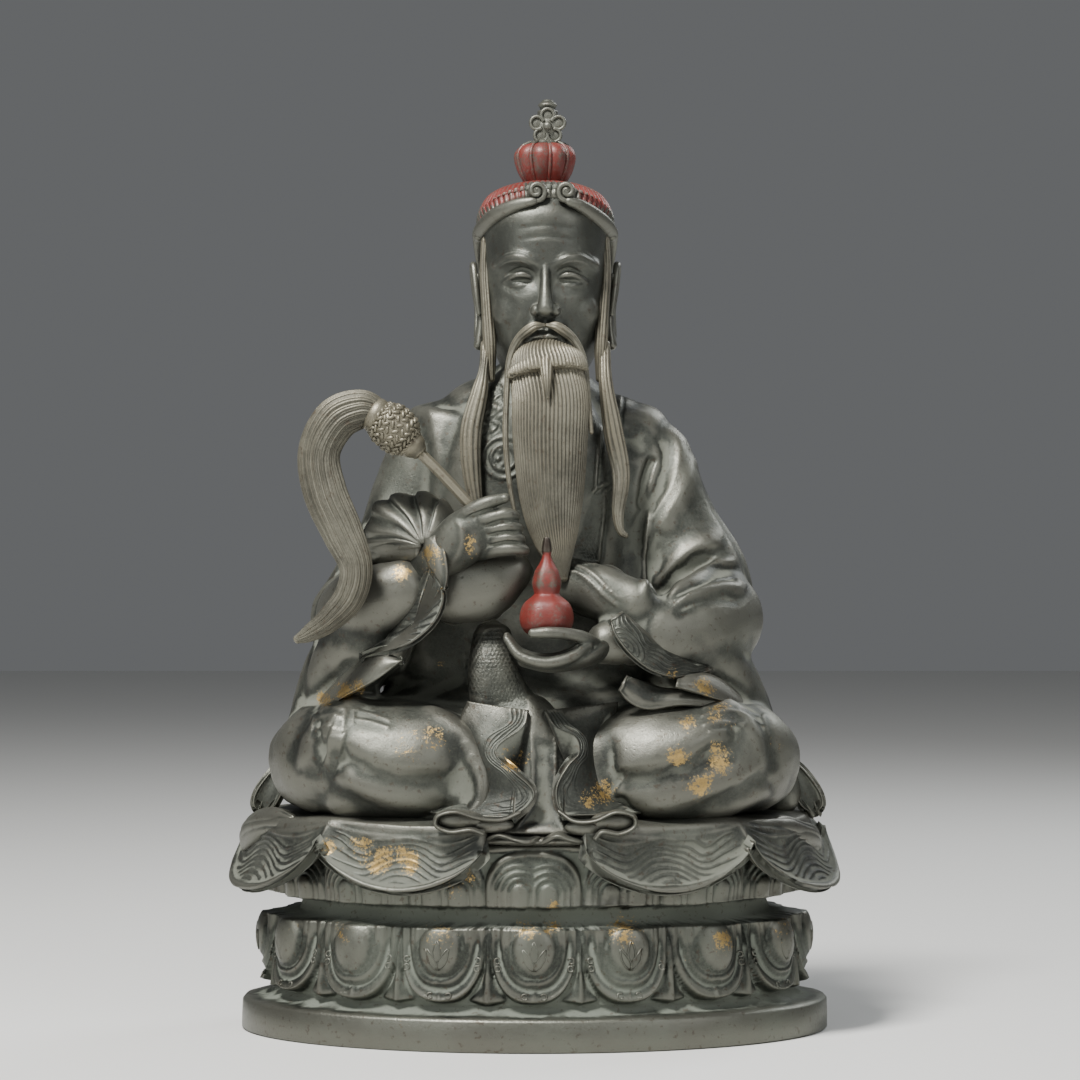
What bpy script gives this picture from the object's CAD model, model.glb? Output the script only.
# %% [markdown]
# # A seated old sage, cast in bronze
# A statue of about a forearm's height: an old man in a long robe sits cross-legged on a double lotus. He
# holds a hair whisk in one hand and a small double gourd on the other palm. The real one was modelled in
# wax, cast in bronze, chased with fine tools, and in places gilded and painted with red lacquer.
# This lesson rebuilds that in the same order: big rounded forms first, then cloth and hair as their own
# surfaces, then the chased lines, and the old metal's colours last.

import math

import bpy
import numpy as np
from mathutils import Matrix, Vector


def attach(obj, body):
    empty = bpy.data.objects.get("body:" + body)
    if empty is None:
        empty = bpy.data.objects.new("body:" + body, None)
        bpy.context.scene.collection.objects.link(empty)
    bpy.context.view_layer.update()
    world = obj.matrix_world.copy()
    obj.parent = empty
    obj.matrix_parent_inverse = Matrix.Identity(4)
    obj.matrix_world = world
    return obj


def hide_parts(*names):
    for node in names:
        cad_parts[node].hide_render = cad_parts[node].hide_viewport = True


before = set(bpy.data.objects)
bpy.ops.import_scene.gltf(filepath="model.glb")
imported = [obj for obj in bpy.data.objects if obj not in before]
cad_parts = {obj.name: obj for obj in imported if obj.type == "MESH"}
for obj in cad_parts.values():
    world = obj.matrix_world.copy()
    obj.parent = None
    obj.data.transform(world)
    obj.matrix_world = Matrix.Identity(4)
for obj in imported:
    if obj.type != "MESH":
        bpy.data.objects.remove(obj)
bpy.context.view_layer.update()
MM = 0.001  # every form below is drawn in millimetres and written in metres

# %% [markdown]
# ## Camera, floor and light
# The camera comes first, because the chased lines are drawn as it sees them. It stands straight in front
# and looks very slightly up, as a long lens on a low tripod does. One soft light stands high on the left, so
# that folds, petals and hands throw shadows downwards. Weak ones in front, on the right and behind only keep
# those shadows from going black.

# %% Camera, floor and light
EYE = Vector((2.3, -1400, 190))  # the lens, in millimetres
EYE_TILT = 0.55  # degrees upwards

camera = bpy.data.objects.new("camera", bpy.data.cameras.new("camera"))
camera.data.lens = 111.1
camera.data.sensor_width = 36
camera.data.clip_start = 0.05
camera.location = EYE * MM
camera.rotation_euler = (math.radians(90 + EYE_TILT), 0, 0)
bpy.context.scene.collection.objects.link(camera)
bpy.context.scene.camera = camera


def soft_light(name, place, size, watts, tint):
    """A square light that faces the middle of the statue."""
    lamp = bpy.data.lights.new(name, "AREA")
    lamp.size = size
    lamp.energy = watts
    lamp.color = tint
    made = bpy.data.objects.new(name, lamp)
    made.location = place
    made.rotation_euler = (Vector((0, 0, 0.19)) - Vector(place)).to_track_quat("-Z", "Y").to_euler()
    bpy.context.scene.collection.objects.link(made)


soft_light("key", (-0.5, -0.72, 1.5), 0.34, 54, (1, 0.985, 0.96))
soft_light("fill", (-0.9, -1.3, 0.75), 0.8, 5.5, (0.95, 0.98, 1))
soft_light("right", (1.0, -1.2, 0.9), 0.8, 7, (0.97, 0.98, 1))
soft_light("back", (0.9, 0.9, 1.1), 0.6, 9, (0.95, 0.98, 1))

world = bpy.data.worlds.new("studio")
world.use_nodes = True
world.node_tree.nodes["Background"].inputs["Color"].default_value = (0.62, 0.64, 0.66, 1)
world.node_tree.nodes["Background"].inputs["Strength"].default_value = 0.21
bpy.context.scene.world = world
print("camera at", [round(v, 4) for v in camera.location])

# %% [markdown]
# ## Forms along a line
# Nearly every form here is a section drawn along a smooth line: a limb, a lock of hair, a finger, a beard.
# Blender's curve bevel can do that, but its section can't change its shape on the way. A few lines of numpy
# can, and give us the share along the form and the angle round it, which we use to groove hair and cloth.

# %% Smooth lines and skins
FRONT = (0, -1, 0)
UP = (0, 0, 1)


def unit(vectors):
    return vectors / np.maximum(np.linalg.norm(vectors, axis=-1, keepdims=True), 1e-12)


def smooth_line(stations, share):
    """The values at shares from 0 to 1 of a smooth line through the stations."""
    p = np.asarray(stations, float)
    p = np.vstack([2 * p[0] - p[1], p, 2 * p[-1] - p[-2]])
    at = np.clip(share, 0, 1) * (len(p) - 3)
    i = np.minimum(at.astype(int), len(p) - 4)
    w = (at - i)[:, None]
    a, b, c, d = (p[i + k] for k in range(4))
    into, out = (c - a) / 2, (d - b) / 2
    start = (2 * w**3 - 3 * w**2 + 1) * b + (w**3 - 2 * w**2 + w) * into
    return start + (3 * w**2 - 2 * w**3) * c + (w**3 - w**2) * out


def turned_out(points, faces):
    """The same closed skin with its faces outwards, which gives it a positive volume."""
    a, b, c = (points[faces[:, k]] for k in range(3))
    volume = np.einsum("ij,ij->i", a, np.cross(b, c)).sum()
    return points, faces if volume > 0 else faces[:, ::-1]


def skin(rings, start=None, end=None):
    """A closed skin over rings of points, with a point at each end, or the ring's middle."""
    rows, cols = rings.shape[:2]
    here = np.arange(cols)
    after = (here + 1) % cols
    row = np.arange(rows - 1)[:, None] * cols
    quads = np.stack([row + here, row + after, row + cols + after, row + cols + here], -1).reshape(-1, 4)
    last = rows * cols
    start = rings[0].mean(0) if start is None else start
    end = rings[-1].mean(0) if end is None else end
    fans = [
        np.stack([np.full(cols, last), after, here], -1),
        np.stack([np.full(cols, last + 1), last - cols + here, last - cols + after], -1),
    ]
    faces = np.concatenate([quads[:, [0, 1, 2]], quads[:, [0, 2, 3]], *fans])
    return turned_out(np.vstack([rings.reshape(-1, 3), start, end]), faces)


def joined(forms):
    """Several skins as one list of points and one of faces."""
    starts = np.cumsum([0] + [len(points) for points, _ in forms[:-1]])
    points = np.vstack([points for points, _ in forms])
    return points, np.vstack([faces + first for (_, faces), first in zip(forms, starts)])


END_ANGLES = np.radians(np.linspace(0, 90, 7)[1:-1])


def loft(stations, sides=40, steps=40, facing=FRONT, square=2.0, ends=(1, 1), relief=None):
    """
    A form along a smooth line, in mm. Each station is x, y, z, half width, half depth. The depth lies
    towards `facing`. `square` is 2 for an oval section and more for a squarer one. `ends` says how far each
    end bulges. `relief(share, angle)` gives the share of its size that the section grows by; a quarter turn
    is the side that faces us.
    """
    stations = np.asarray(stations, float)
    rows = [(0, -ends[0] * math.sin(a), math.cos(a)) for a in END_ANGLES[::-1] if ends[0]]
    rows += [(s, 0, 1) for s in np.linspace(0, 1, steps + 1)]
    rows += [(1, ends[1] * math.sin(a), math.cos(a)) for a in END_ANGLES if ends[1]]
    share, slide, scale = np.array(rows).T
    line = smooth_line(stations, share)
    ahead = smooth_line(stations[:, :3], share + 1e-4)
    tangent = unit(ahead - smooth_line(stations[:, :3], share - 1e-4))
    across = unit(np.cross(tangent, facing))
    out = np.cross(tangent, across)
    half = line[:, 3:]
    centre = line[:, :3] + tangent * (slide * half.min(1))[:, None]
    angle = 2 * np.pi * np.arange(sides) / sides
    bent = [np.sign(f(angle)) * np.abs(f(angle)) ** (2 / square) for f in (np.cos, np.sin)]
    size = scale[:, None] * np.ones(sides)
    if relief:
        size = size * (1 + relief(share[:, None], angle[None, :]))
    wide = across[:, None] * (size * half[:, :1] * bent[0])[..., None]
    deep = out[:, None] * (size * half[:, 1:] * bent[1])[..., None]
    start = line[0, :3] + tangent[0] * (-ends[0] * half[0].min())
    end = line[-1, :3] + tangent[-1] * (ends[1] * half[-1].min())
    return skin(centre[:, None] + wide - deep, start, end)


def ball(centre, half, around=32):
    """A ball stretched to three half sizes."""
    x, y, z = centre
    angle = np.linspace(-90, 90, around // 2 + 1)[1:-1]
    turn = 2 * np.pi * np.arange(around) / around
    lat = np.radians(angle)[:, None]
    ring = [np.cos(lat) * np.cos(turn) * half[0] + x, np.cos(lat) * np.sin(turn) * half[1] + y]
    rings = np.stack([*ring, np.sin(lat) * half[2] + z + 0 * turn], -1)
    return skin(rings, np.array([x, y, z - half[2]]), np.array([x, y, z + half[2]]))


def mirrored(form, middle=0.0):
    """The same form on the other side of an upright plane."""
    points, faces = form
    return points * (-1, 1, 1) + (2 * middle, 0, 0), faces[:, ::-1]


def strands(count, depth, sway=0.0):
    """Relief of rounded strands with sharp grooves between them."""

    def relief(share, angle):
        bent = angle + sway * np.sin(3 * angle + 7 * share)
        return depth * (np.abs(np.sin(count * bent / 2)) ** 0.55 - 1)

    return relief


print("a test loft has", len(loft([[0, 0, 0, 5, 5], [0, 0, 20, 3, 3]])[1]), "triangles")

# %% [markdown]
# ## Meshes from numbers, and one skin from many forms
# A form becomes a Blender mesh with foreach_set, which is much quicker than a list of tuples. Forms that
# melt into each other, such as robe and sleeves, are first fused: the voxel Remesh modifier keeps only the
# outer surface of everything that overlaps, as wax does under warm fingers.

# %% Meshes
def new_object(name, points, faces):
    mesh = bpy.data.meshes.new(name)
    mesh.vertices.add(len(points))
    mesh.vertices.foreach_set("co", np.asarray(points, np.float32).ravel())
    mesh.loops.add(faces.size)
    mesh.loops.foreach_set("vertex_index", np.asarray(faces, np.int32).ravel())
    mesh.polygons.add(len(faces))
    mesh.polygons.foreach_set("loop_start", np.arange(0, faces.size, faces.shape[1], dtype=np.int32))
    mesh.update(calc_edges=True)
    made = bpy.data.objects.new(name, mesh)
    bpy.context.scene.collection.objects.link(made)
    return made


def read_back(made):
    """The points and triangles of an object with its modifiers, which is then removed."""
    graph = bpy.context.evaluated_depsgraph_get()
    shown = made.evaluated_get(graph)
    mesh = shown.to_mesh()
    mesh.calc_loop_triangles()
    points = np.empty(len(mesh.vertices) * 3, np.float32)
    mesh.vertices.foreach_get("co", points)
    faces = np.empty(len(mesh.loop_triangles) * 3, np.int32)
    mesh.loop_triangles.foreach_get("vertices", faces)
    shown.to_mesh_clear()
    data = made.data
    bpy.data.objects.remove(made)
    bpy.data.meshes.remove(data)
    return points.reshape(-1, 3).astype(float), faces.reshape(-1, 3)


def fused(forms, voxel):
    """One closed skin round all the forms, sampled every `voxel` mm."""
    made = new_object("melt", *joined(forms))
    modifier = made.modifiers.new("melt", "REMESH")
    modifier.mode = "VOXEL"
    modifier.voxel_size = voxel
    return read_back(made)


def thinned(points, faces, most):
    """At most `most` triangles, spent where the surface bends."""
    if len(faces) <= most:
        return points, faces
    made = new_object("thin", points, faces)
    modifier = made.modifiers.new("thin", "DECIMATE")
    modifier.ratio = most / len(faces)
    return read_back(made)


def links(faces):
    """Each edge once, as two lists of points."""
    pairs = np.sort(np.vstack([faces[:, [0, 1]], faces[:, [1, 2]], faces[:, [2, 0]]]), axis=1)
    keys = np.unique(pairs[:, 0].astype(np.int64) * (1 << 32) + pairs[:, 1])
    return keys >> 32, keys & 0xFFFFFFFF


def evened(values, edges, times, strength=0.5):
    """Values, one row for each point, moved towards the mean of their neighbours."""
    a, b = edges
    values = np.atleast_2d(values.T).T.astype(float)
    size = len(values)
    count = np.maximum(np.bincount(a, minlength=size) + np.bincount(b, minlength=size), 1)
    for _ in range(times):
        sums = [np.bincount(a, column[b], size) + np.bincount(b, column[a], size) for column in values.T]
        mean = np.stack([column / count for column in sums], -1)
        values = values + strength * (mean - values)
    return values


def smoothed(form, times):
    """The same skin with its points moved towards their neighbours this many times."""
    points, faces = form
    return evened(points, links(faces), times), faces


def normals(points, faces):
    a, b, c = (points[faces[:, k]] for k in range(3))
    face = np.cross(b - a, c - a)
    corners = range(3)
    total = [sum(np.bincount(faces[:, k], face[:, i], len(points)) for k in corners) for i in range(3)]
    return unit(np.stack(total, -1))


def swollen(form, amount):
    """The same skin with each point moved outwards by its own amount, in mm."""
    points, faces = form
    return points + normals(points, faces) * amount[:, None], faces


def ripple(points, size, seed, waves=7):
    """Smooth noise from -1 to 1 or so, with humps about `size` mm across."""
    rng = np.random.default_rng(seed)
    ways = unit(rng.normal(size=(waves, 3))) * rng.uniform(0.7, 1.4, (waves, 1))
    return np.sin(points @ ways.T * (np.pi / size) + rng.uniform(0, 6.3, waves)).sum(1) / math.sqrt(waves)


# %% [markdown]
# ## Chasing
# After casting, the founder cuts lines and softens folds with chisels and punches. Here each such line is a
# smooth curve in the front view, and the points near it move in or out along the surface. The curves are
# in millimetres on the upright plane through the middle of the statue, as the camera sees them.

# %% The chasing tools
def as_seen(points):
    """Where the camera sees points: x and z in mm on the upright plane through the statue's middle."""
    nearer = -EYE.y / (points[:, 1] - EYE.y)
    middle = np.array([EYE.x, EYE.z])
    return middle + (points[:, [0, 2]] - middle) * nearer[:, None]


def within(outline, spots, samples=40):
    """Which spots lie inside a closed smooth outline."""
    ring = smooth_line([*outline, outline[0]], np.linspace(0, 1, samples))
    inside = np.zeros(len(spots), bool)
    x, z = spots.T
    for (x0, z0), (x1, z1) in zip(ring[:-1], ring[1:]):
        crosses = (z0 > z) != (z1 > z)
        inside ^= crosses & (x < x0 + (z - z0) * (x1 - x0) / (z1 - z0 if z1 != z0 else 1))
    return inside


class Chaser:
    """Moves a skin's points along their normals, near curves that are drawn in one view."""

    VIEWS = {"front": (1, -1), "back": (1, 1), "left": (0, -1), "right": (0, 1)}

    def __init__(self, points, faces, calm=6):
        self.points, self.faces = points, faces
        self.normal = normals(evened(points, links(faces), calm), faces)
        self.lift = np.zeros(len(points))
        self.use("front")

    def use(self, view, near=None):
        """Draw in this view from now on; `near` keeps only points with y from and to these values."""
        axis, sign = self.VIEWS[view]
        facing = self.normal[:, axis] * sign
        self.facing = np.clip((facing - 0.05) / 0.25, 0, 1)
        if near:
            y = self.points[:, 1]
            self.facing = self.facing * (y > near[0]) * (y < near[1])
        if view == "front":
            self.flat = as_seen(self.points)
        else:
            self.flat = self.points[:, [1, 2] if axis == 0 else [0, 2]].copy()

    def near(self, curve, reach, samples=28):
        """The points within reach: their indices, distance, side of the line and share along it."""
        line = smooth_line(curve, np.linspace(0, 1, samples if len(curve) > 2 else 2))
        low, high = line.min(0) - reach, line.max(0) + reach
        inside = (self.flat > low).all(1) & (self.flat < high).all(1) & (self.facing > 0)
        found = np.nonzero(inside)[0]
        best = np.full(len(found), np.inf)
        side, share = np.zeros(len(found)), np.zeros(len(found))
        spots = self.flat[found]
        for k, (a, b) in enumerate(zip(line[:-1], line[1:])):
            step = b - a
            along = np.clip(((spots - a) @ step) / max(step @ step, 1e-9), 0, 1)
            off = spots - a - along[:, None] * step
            far = np.hypot(*off.T)
            closer = far < best
            best[closer] = far[closer]
            side[closer] = np.sign(step[0] * off[closer, 1] - step[1] * off[closer, 0])
            share[closer] = (k + along[closer]) / (len(line) - 1)
        keep = best < reach
        return found[keep], best[keep], side[keep], share[keep]

    def line(self, curve, width, height, fade=0.12):
        """A rounded ridge, or a groove where the height is negative."""
        found, far, _, share = self.near(curve, 2.5 * width)
        ends = np.clip(np.minimum(share, 1 - share) / max(fade, 1e-3), 0, 1) if fade else 1
        self.lift[found] += height * np.exp(-((far / width) ** 2)) * ends * self.facing[found]

    def fold(self, curve, height, soft, sharp, fade=0.2):
        """A fold that swells slowly on the left of the curve's way and drops quickly on its right."""
        found, far, side, share = self.near(curve, 2.4 * max(soft, sharp))
        ends = np.sin(np.clip(np.minimum(share, 1 - share) / fade, 0, 1) * np.pi / 2)
        slope = np.where(side > 0, soft, sharp)
        swell = np.exp(-((far / slope) ** 2))
        dip = np.where(side > 0, 0, 0.45 * np.exp(-(((far - 2 * sharp) / sharp) ** 2)))
        self.lift[found] += height * (swell - dip) * ends * self.facing[found]

    def patch(self, outline, amount):
        """Adds amount(points) inside a closed outline."""
        found = np.nonzero(within(outline, self.flat) & (self.facing > 0))[0]
        self.lift[found] += amount(self.points[found]) * self.facing[found]

    def done(self):
        return self.points + self.normal * self.lift[:, None], self.faces


# %% [markdown]
# ## Old metal needs to know its hollows
# Dirt and green patina stay in the hollows, and hands and cloths polish the edges. Each finished piece
# stores both as numbers on its points, so that its material can read them, with the places of gold leaf
# and red lacquer that survived. A mesh attribute travels with the export; a light-dependent trick doesn't.
# Each piece also gets a share of the triangles here, by how much relief it carries and how near it is.

# %% Finished pieces
PIECES = []
MOST_TRIANGLES = {
    "lotus": 190000, "robe": 185000, "cuffs": 50000, "hem": 125000, "front_flaps": 62000, "hands": 46000,
    "head": 75000, "beard_and_locks": 105000, "crown_and_topknot": 66000, "hair_band": 22000, "whisk": 95000,
    "gourd_skin": 14000,
}
LOTUS_WITHOUT_MARKS = 120000


def worn(points, faces):
    """How far each point lies in a hollow, and how far it stands out as an edge, from 0 to 1."""
    edges = links(faces)
    out = normals(points, faces)
    total = np.zeros(len(points))
    drawn = points
    for times, scale, weight in ((2, 0.08, 0.55), (12, 0.35, 0.55), (46, 1.3, 0.45)):
        drawn = evened(drawn, edges, times)
        total += weight * np.clip(np.einsum("ij,ij->i", drawn - points, out) / scale, -1, 1)
    total = evened(total, edges, 3)[:, 0]
    return np.clip(total, 0, 1), np.clip(-total, 0, 1)


def finished(name, skin_of_it, slot, finish, red=None, punched=None, replaces=()):
    """
    A skin in mm as a finished piece that rides on the statue's one body. `red` and `punched` give the share
    of lacquer and of punched ground for each point.
    """
    points, faces = thinned(*skin_of_it, MOST_TRIANGLES[name])
    hollow, edge = worn(points, faces)
    gold = np.zeros(len(points))
    seen = as_seen(points)
    for x, z, radius, strength in GOLD_SPOTS:
        far = np.hypot(seen[:, 0] - x, seen[:, 1] - z) / radius
        gold = np.maximum(gold, strength * np.clip(1.35 - far, 0, 1) * (points[:, 1] < -20))
    marks = {"hollow": hollow, "edge": edge, "gold": gold}
    marks["red"] = red(points) if red else 0 * gold
    marks["punched"] = punched(points) if punched else 0 * gold
    made = new_object(name, points * MM, faces)
    made.data.shade_smooth()
    for label, values in marks.items():
        layer = made.data.attributes.new(label, "FLOAT", "POINT")
        layer.data.foreach_set("value", np.asarray(values, np.float32))
    made.data.materials.append(finish)
    PIECES.append((made, slot, replaces))
    print(name, len(points), "points", len(faces), "triangles")


def step(value, low, high):
    """0 below low, 1 above high, and a smooth slope between them."""
    t = np.clip((value - low) / (high - low), 0, 1)
    return t * t * (3 - 2 * t)


# Gold leaf that is left, on the knees, the hems, the cuffs and the petals' bosses: x and z as the camera
# sees them and a radius, all in mm, and how thick the leaf is, up to 1.
GOLD_SPOTS = [
    (60.7, 113.1, 6, 1), (69.5, 100.5, 7, 1), (76.2, 109, 8, 0.95), (78, 116, 6, 0.8),
    (29.6, 98, 7, 0.95), (65, 126, 5, 0.85), (78, 131, 8, 0.7), (-43, 120, 10, 0.62),
    (-51, 118, 10, 0.6), (-8.2, 112, 7, 0.9), (-86.7, 75, 4.5, 0.95), (-73, 73, 8, 0.8),
    (-63, 70, 7, 0.95), (-53, 69, 8, 0.95), (-67, 65.7, 4, 0.9), (-55.2, 190, 5.5, 0.95),
    (-43, 198, 7, 0.85), (-45, 190, 6, 0.6), (-27, 201.8, 6, 0.7), (-40, 183, 4, 0.6),
    (-88, 137, 5, 0.95), (-80, 139.5, 5.5, 1), (-74, 142, 5, 0.9), (71.6, 142, 6, 1),
    (57.7, 147, 4, 0.85), (-39.3, 151.4, 2.6, 0.9), (102, 117, 6, 0.5), (22, 94, 5, 0.7),
    (-40.5, 37, 9, 0.62), (-3.6, 38.5, 7, 0.9), (7.3, 41.7, 5, 0.8), (37.5, 39.6, 8, 0.95),
    (78.7, 35.4, 7, 0.85), (104, 39.6, 8, 0.6), (-80, 39, 8, 0.5), (-55.7, -1.5, 3, 1),
    (-33.4, 56.4, 6, 0.72), (-26.7, 62, 4, 0.8), (7.8, 50.6, 4, 0.8), (-103, 40, 7, 0.4),
]

# %% [markdown]
# ## Arithmetic on sockets
# Materials and Geometry Nodes are both graphs, and a graph for a formula soon hides the formula. A small
# class wraps an output socket, so that `1 - mask * 0.5` adds its Math nodes by itself. Everything else goes
# through one method, which sets a node's own settings before its sockets.

# %% Sockets that can be added and multiplied
class Signal:
    """One output of a node, which takes part in arithmetic."""

    def __init__(self, book, socket):
        self.book, self.socket = book, socket

    def math(self, operation, *others):
        inputs = dict(enumerate((self, *others)))
        return self.book.node("ShaderNodeMath", {"operation": operation}, inputs)

    def __add__(self, other):
        return self.math("ADD", other)

    def __sub__(self, other):
        return self.math("SUBTRACT", other)

    def __mul__(self, other):
        return self.math("MULTIPLY", other)

    def __rsub__(self, other):
        return self.book.node("ShaderNodeMath", {"operation": "SUBTRACT"}, {0: other, 1: self})

    __radd__ = __add__
    __rmul__ = __mul__

    def between(self, low, high):
        """0 below low, 1 above high, smooth between them."""
        limits = {"Value": self, "From Min": low, "From Max": high}
        return self.book.node("ShaderNodeMapRange", {"interpolation_type": "SMOOTHSTEP"}, limits)


class Book:
    """A node tree that is being written."""

    def __init__(self, tree):
        self.tree = tree

    def node(self, kind, settings=None, inputs=None, out=0):
        made = self.tree.nodes.new(kind)
        for key, value in (settings or {}).items():
            setattr(made, key, value)
        for key, value in (inputs or {}).items():
            if isinstance(value, Signal):
                self.tree.links.new(value.socket, made.inputs[key])
            else:
                made.inputs[key].default_value = value
        return Signal(self, made.outputs[out]) if made.outputs else made


# %% [markdown]
# ## The old bronze
# One recipe serves every casting: a dark brown-green skin, a little lighter and browner where hands have
# polished the edges, with pale grey-green dust and patina in the hollows. Gold leaf holds on near its
# spots, eaten away by fine noise, and red lacquer where the piece says so. Each place is both a colour and
# a gloss: dust is rough and hardly metallic, and leaf is smoother than the bronze round it. The pedestal's
# bronze is glossier, the hair's is dusty and dull, and the face's is paler from handling.

# %% Bronze, leaf and lacquer
FRECKLE = (0.05, 0.028, 0.015, 1)
LEAF = ((0.2, 0.13, 0.05, 1), (0.62, 0.43, 0.16, 1))  # where it is thin, and where it is thick
LACQUER = ((0.085, 0.01, 0.008, 1), (0.2, 0.022, 0.015, 1))


def aged(name, deep, lift, dust, worn_to=(0.19, 0.186, 0.155, 1), dusty=1.0, rough=0.47, metal=0.72):
    """Old bronze. `deep` and `lift` are its two skins, `dust` lies in hollows, `worn_to` shows on edges."""
    material = bpy.data.materials.new(name)
    material.use_nodes = True
    material.node_tree.nodes.clear()
    book = Book(material.node_tree)
    place = book.node("ShaderNodeTexCoord", out=3)

    def noise(size, detail=4, rough=0.6, out=0):
        """Noise with features about `size` mm across."""
        inputs = {"Vector": place, "Scale": 1000 / size, "Detail": detail, "Roughness": rough}
        return book.node("ShaderNodeTexNoise", {}, inputs, out)

    def mark(label):
        return book.node("ShaderNodeAttribute", {"attribute_name": label}, {}, 2)

    def mix(a, b, share):
        """Colour a turning into b."""
        return book.node("ShaderNodeMix", {"data_type": "RGBA"}, {0: share, 6: a, 7: b}, 2)

    def blend(a, b, share):
        """Number a turning into b."""
        return a + (b - a) * share if isinstance(b, Signal) else share * (b - a) + a

    broad, medium, fine = noise(38), noise(7), noise(1.1, 5, 0.7)
    hollow, edge = mark("hollow"), mark("edge")
    upward = book.node("ShaderNodeNewGeometry", out=1)
    upward = book.node("ShaderNodeSeparateXYZ", {}, {0: upward}, 2)
    polish = (edge * 1.3 + medium * 0.5 + broad * 0.3 - 0.6 - hollow).between(0, 1.0)
    settled = (hollow * 1.5 + upward * 0.25 + medium * 0.5 + fine * 0.4 - 0.66).between(0.0, 0.9) * dusty
    film = (broad * 0.8 + fine * 0.5).between(0.5, 0.9) * 0.5 * dusty
    colour = mix(deep, lift, (broad + medium * 0.35 - 0.2).between(0.25, 0.8))
    colour = mix(colour, worn_to, polish * 0.6)
    colour = mix(colour, dust, film)
    colour = mix(colour, dust, settled * 0.85)
    freckle = (noise(2.3, 3, 0.5) + fine * 0.4).between(0.8, 0.92) * 0.45
    colour = mix(colour, FRECKLE, freckle)
    leaf = (mark("gold") * 0.9 + medium * 1.5 + fine * 1.9 - 2.28).between(0.0, 0.3)
    colour = mix(colour, mix(*LEAF, fine), leaf * 0.92)
    rubbed = mark("red") * 1.7 + fine * 0.9 + medium * 0.5 - edge * 0.35
    paint = (rubbed - 1.45).between(0.0, 0.35)
    colour = mix(colour, mix(*LACQUER, medium), paint * 0.94)
    colour = mix(colour, dust, (hollow * 1.2 + fine * 0.5 - 0.6).between(0, 0.8) * paint * 0.6)

    dull = blend(blend(rough, 0.8, settled), 0.32, polish * 0.5) + (fine - 0.5) * 0.18 + film * 0.2
    dull = blend(blend(dull, 0.4, leaf), 0.46, paint)
    shine = blend(blend(blend(metal, 0.2, settled), 0.9, leaf), 0.0, paint)
    relief = fine * 0.8 + noise(0.45, 3) * 0.45 + medium * 0.6 + noise(0.9, 1) * mark("punched") * 1.8
    pitting = book.node("ShaderNodeTexVoronoi", {}, {"Vector": place, "Scale": 1000 / 2.6})
    relief = relief + pitting.between(0.0, 0.22) * 0.5 - leaf * 0.4
    bump = book.node("ShaderNodeBump", {}, {"Strength": 0.35, "Distance": 0.0004, "Height": relief})
    inputs = {"Base Color": colour, "Roughness": dull, "Metallic": shine, "Normal": bump}
    shader = book.node("ShaderNodeBsdfPrincipled", {}, inputs)
    book.node("ShaderNodeOutputMaterial", {}, {"Surface": shader})
    return material


ROBE_BRONZE = aged("robe bronze", (0.028, 0.03, 0.026, 1), (0.075, 0.08, 0.068, 1), (0.155, 0.162, 0.132, 1))
LOTUS_BRONZE = aged(
    "lotus bronze", (0.025, 0.0275, 0.023, 1), (0.06, 0.065, 0.055, 1), (0.15, 0.165, 0.135, 1), dusty=1.2,
    rough=0.41, metal=0.78
)
HAIR_BRONZE = aged(
    "hair bronze", (0.06, 0.057, 0.044, 1), (0.12, 0.115, 0.088, 1), (0.21, 0.2, 0.155, 1),
    worn_to=(0.26, 0.235, 0.17, 1), dusty=1.2, rough=0.5, metal=0.6,
)
# The face is handled most, so it is the palest and smoothest.
FACE_BRONZE = aged(
    "face bronze", (0.056, 0.059, 0.051, 1), (0.115, 0.12, 0.102, 1), (0.15, 0.157, 0.128, 1), dusty=0.7,
    rough=0.42
)
print("bronze nodes", len(ROBE_BRONZE.node_tree.nodes))

# %% [markdown]
# ## The double lotus
# The pedestal is a flat plate, a ring of petals that hang tips down, a waist, and a ring that stands tips
# up. All the petals follow one rule, so only two neighbours are drawn, flat, as a height over a grid. A
# Geometry Nodes tree lays eight such pairs in a row and wraps the row round an oval: along the row becomes
# a share of the way round, and the height a distance from the middle. An array bent by a curve would pinch
# the narrow ends; this keeps each petal's width. The small curls on the margins and the leaves on the bosses
# are thin lofts that go through the same tree, so that they lie on every petal.

# %% Two petals, drawn flat
OVAL = 0.695  # depth over width
PITCH = 36.5  # from petal to petal, in mm, near enough for their round forms
# Raised and sunk lines inside a lower petal's edge: place as a share of its size, height in mm, half width.
PETAL_LINES = ((0.55, 0.8, 0.032), (0.655, 0.8, 0.032), (0.765, -0.5, 0.035), (0.9, 0.45, 0.022))


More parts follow.
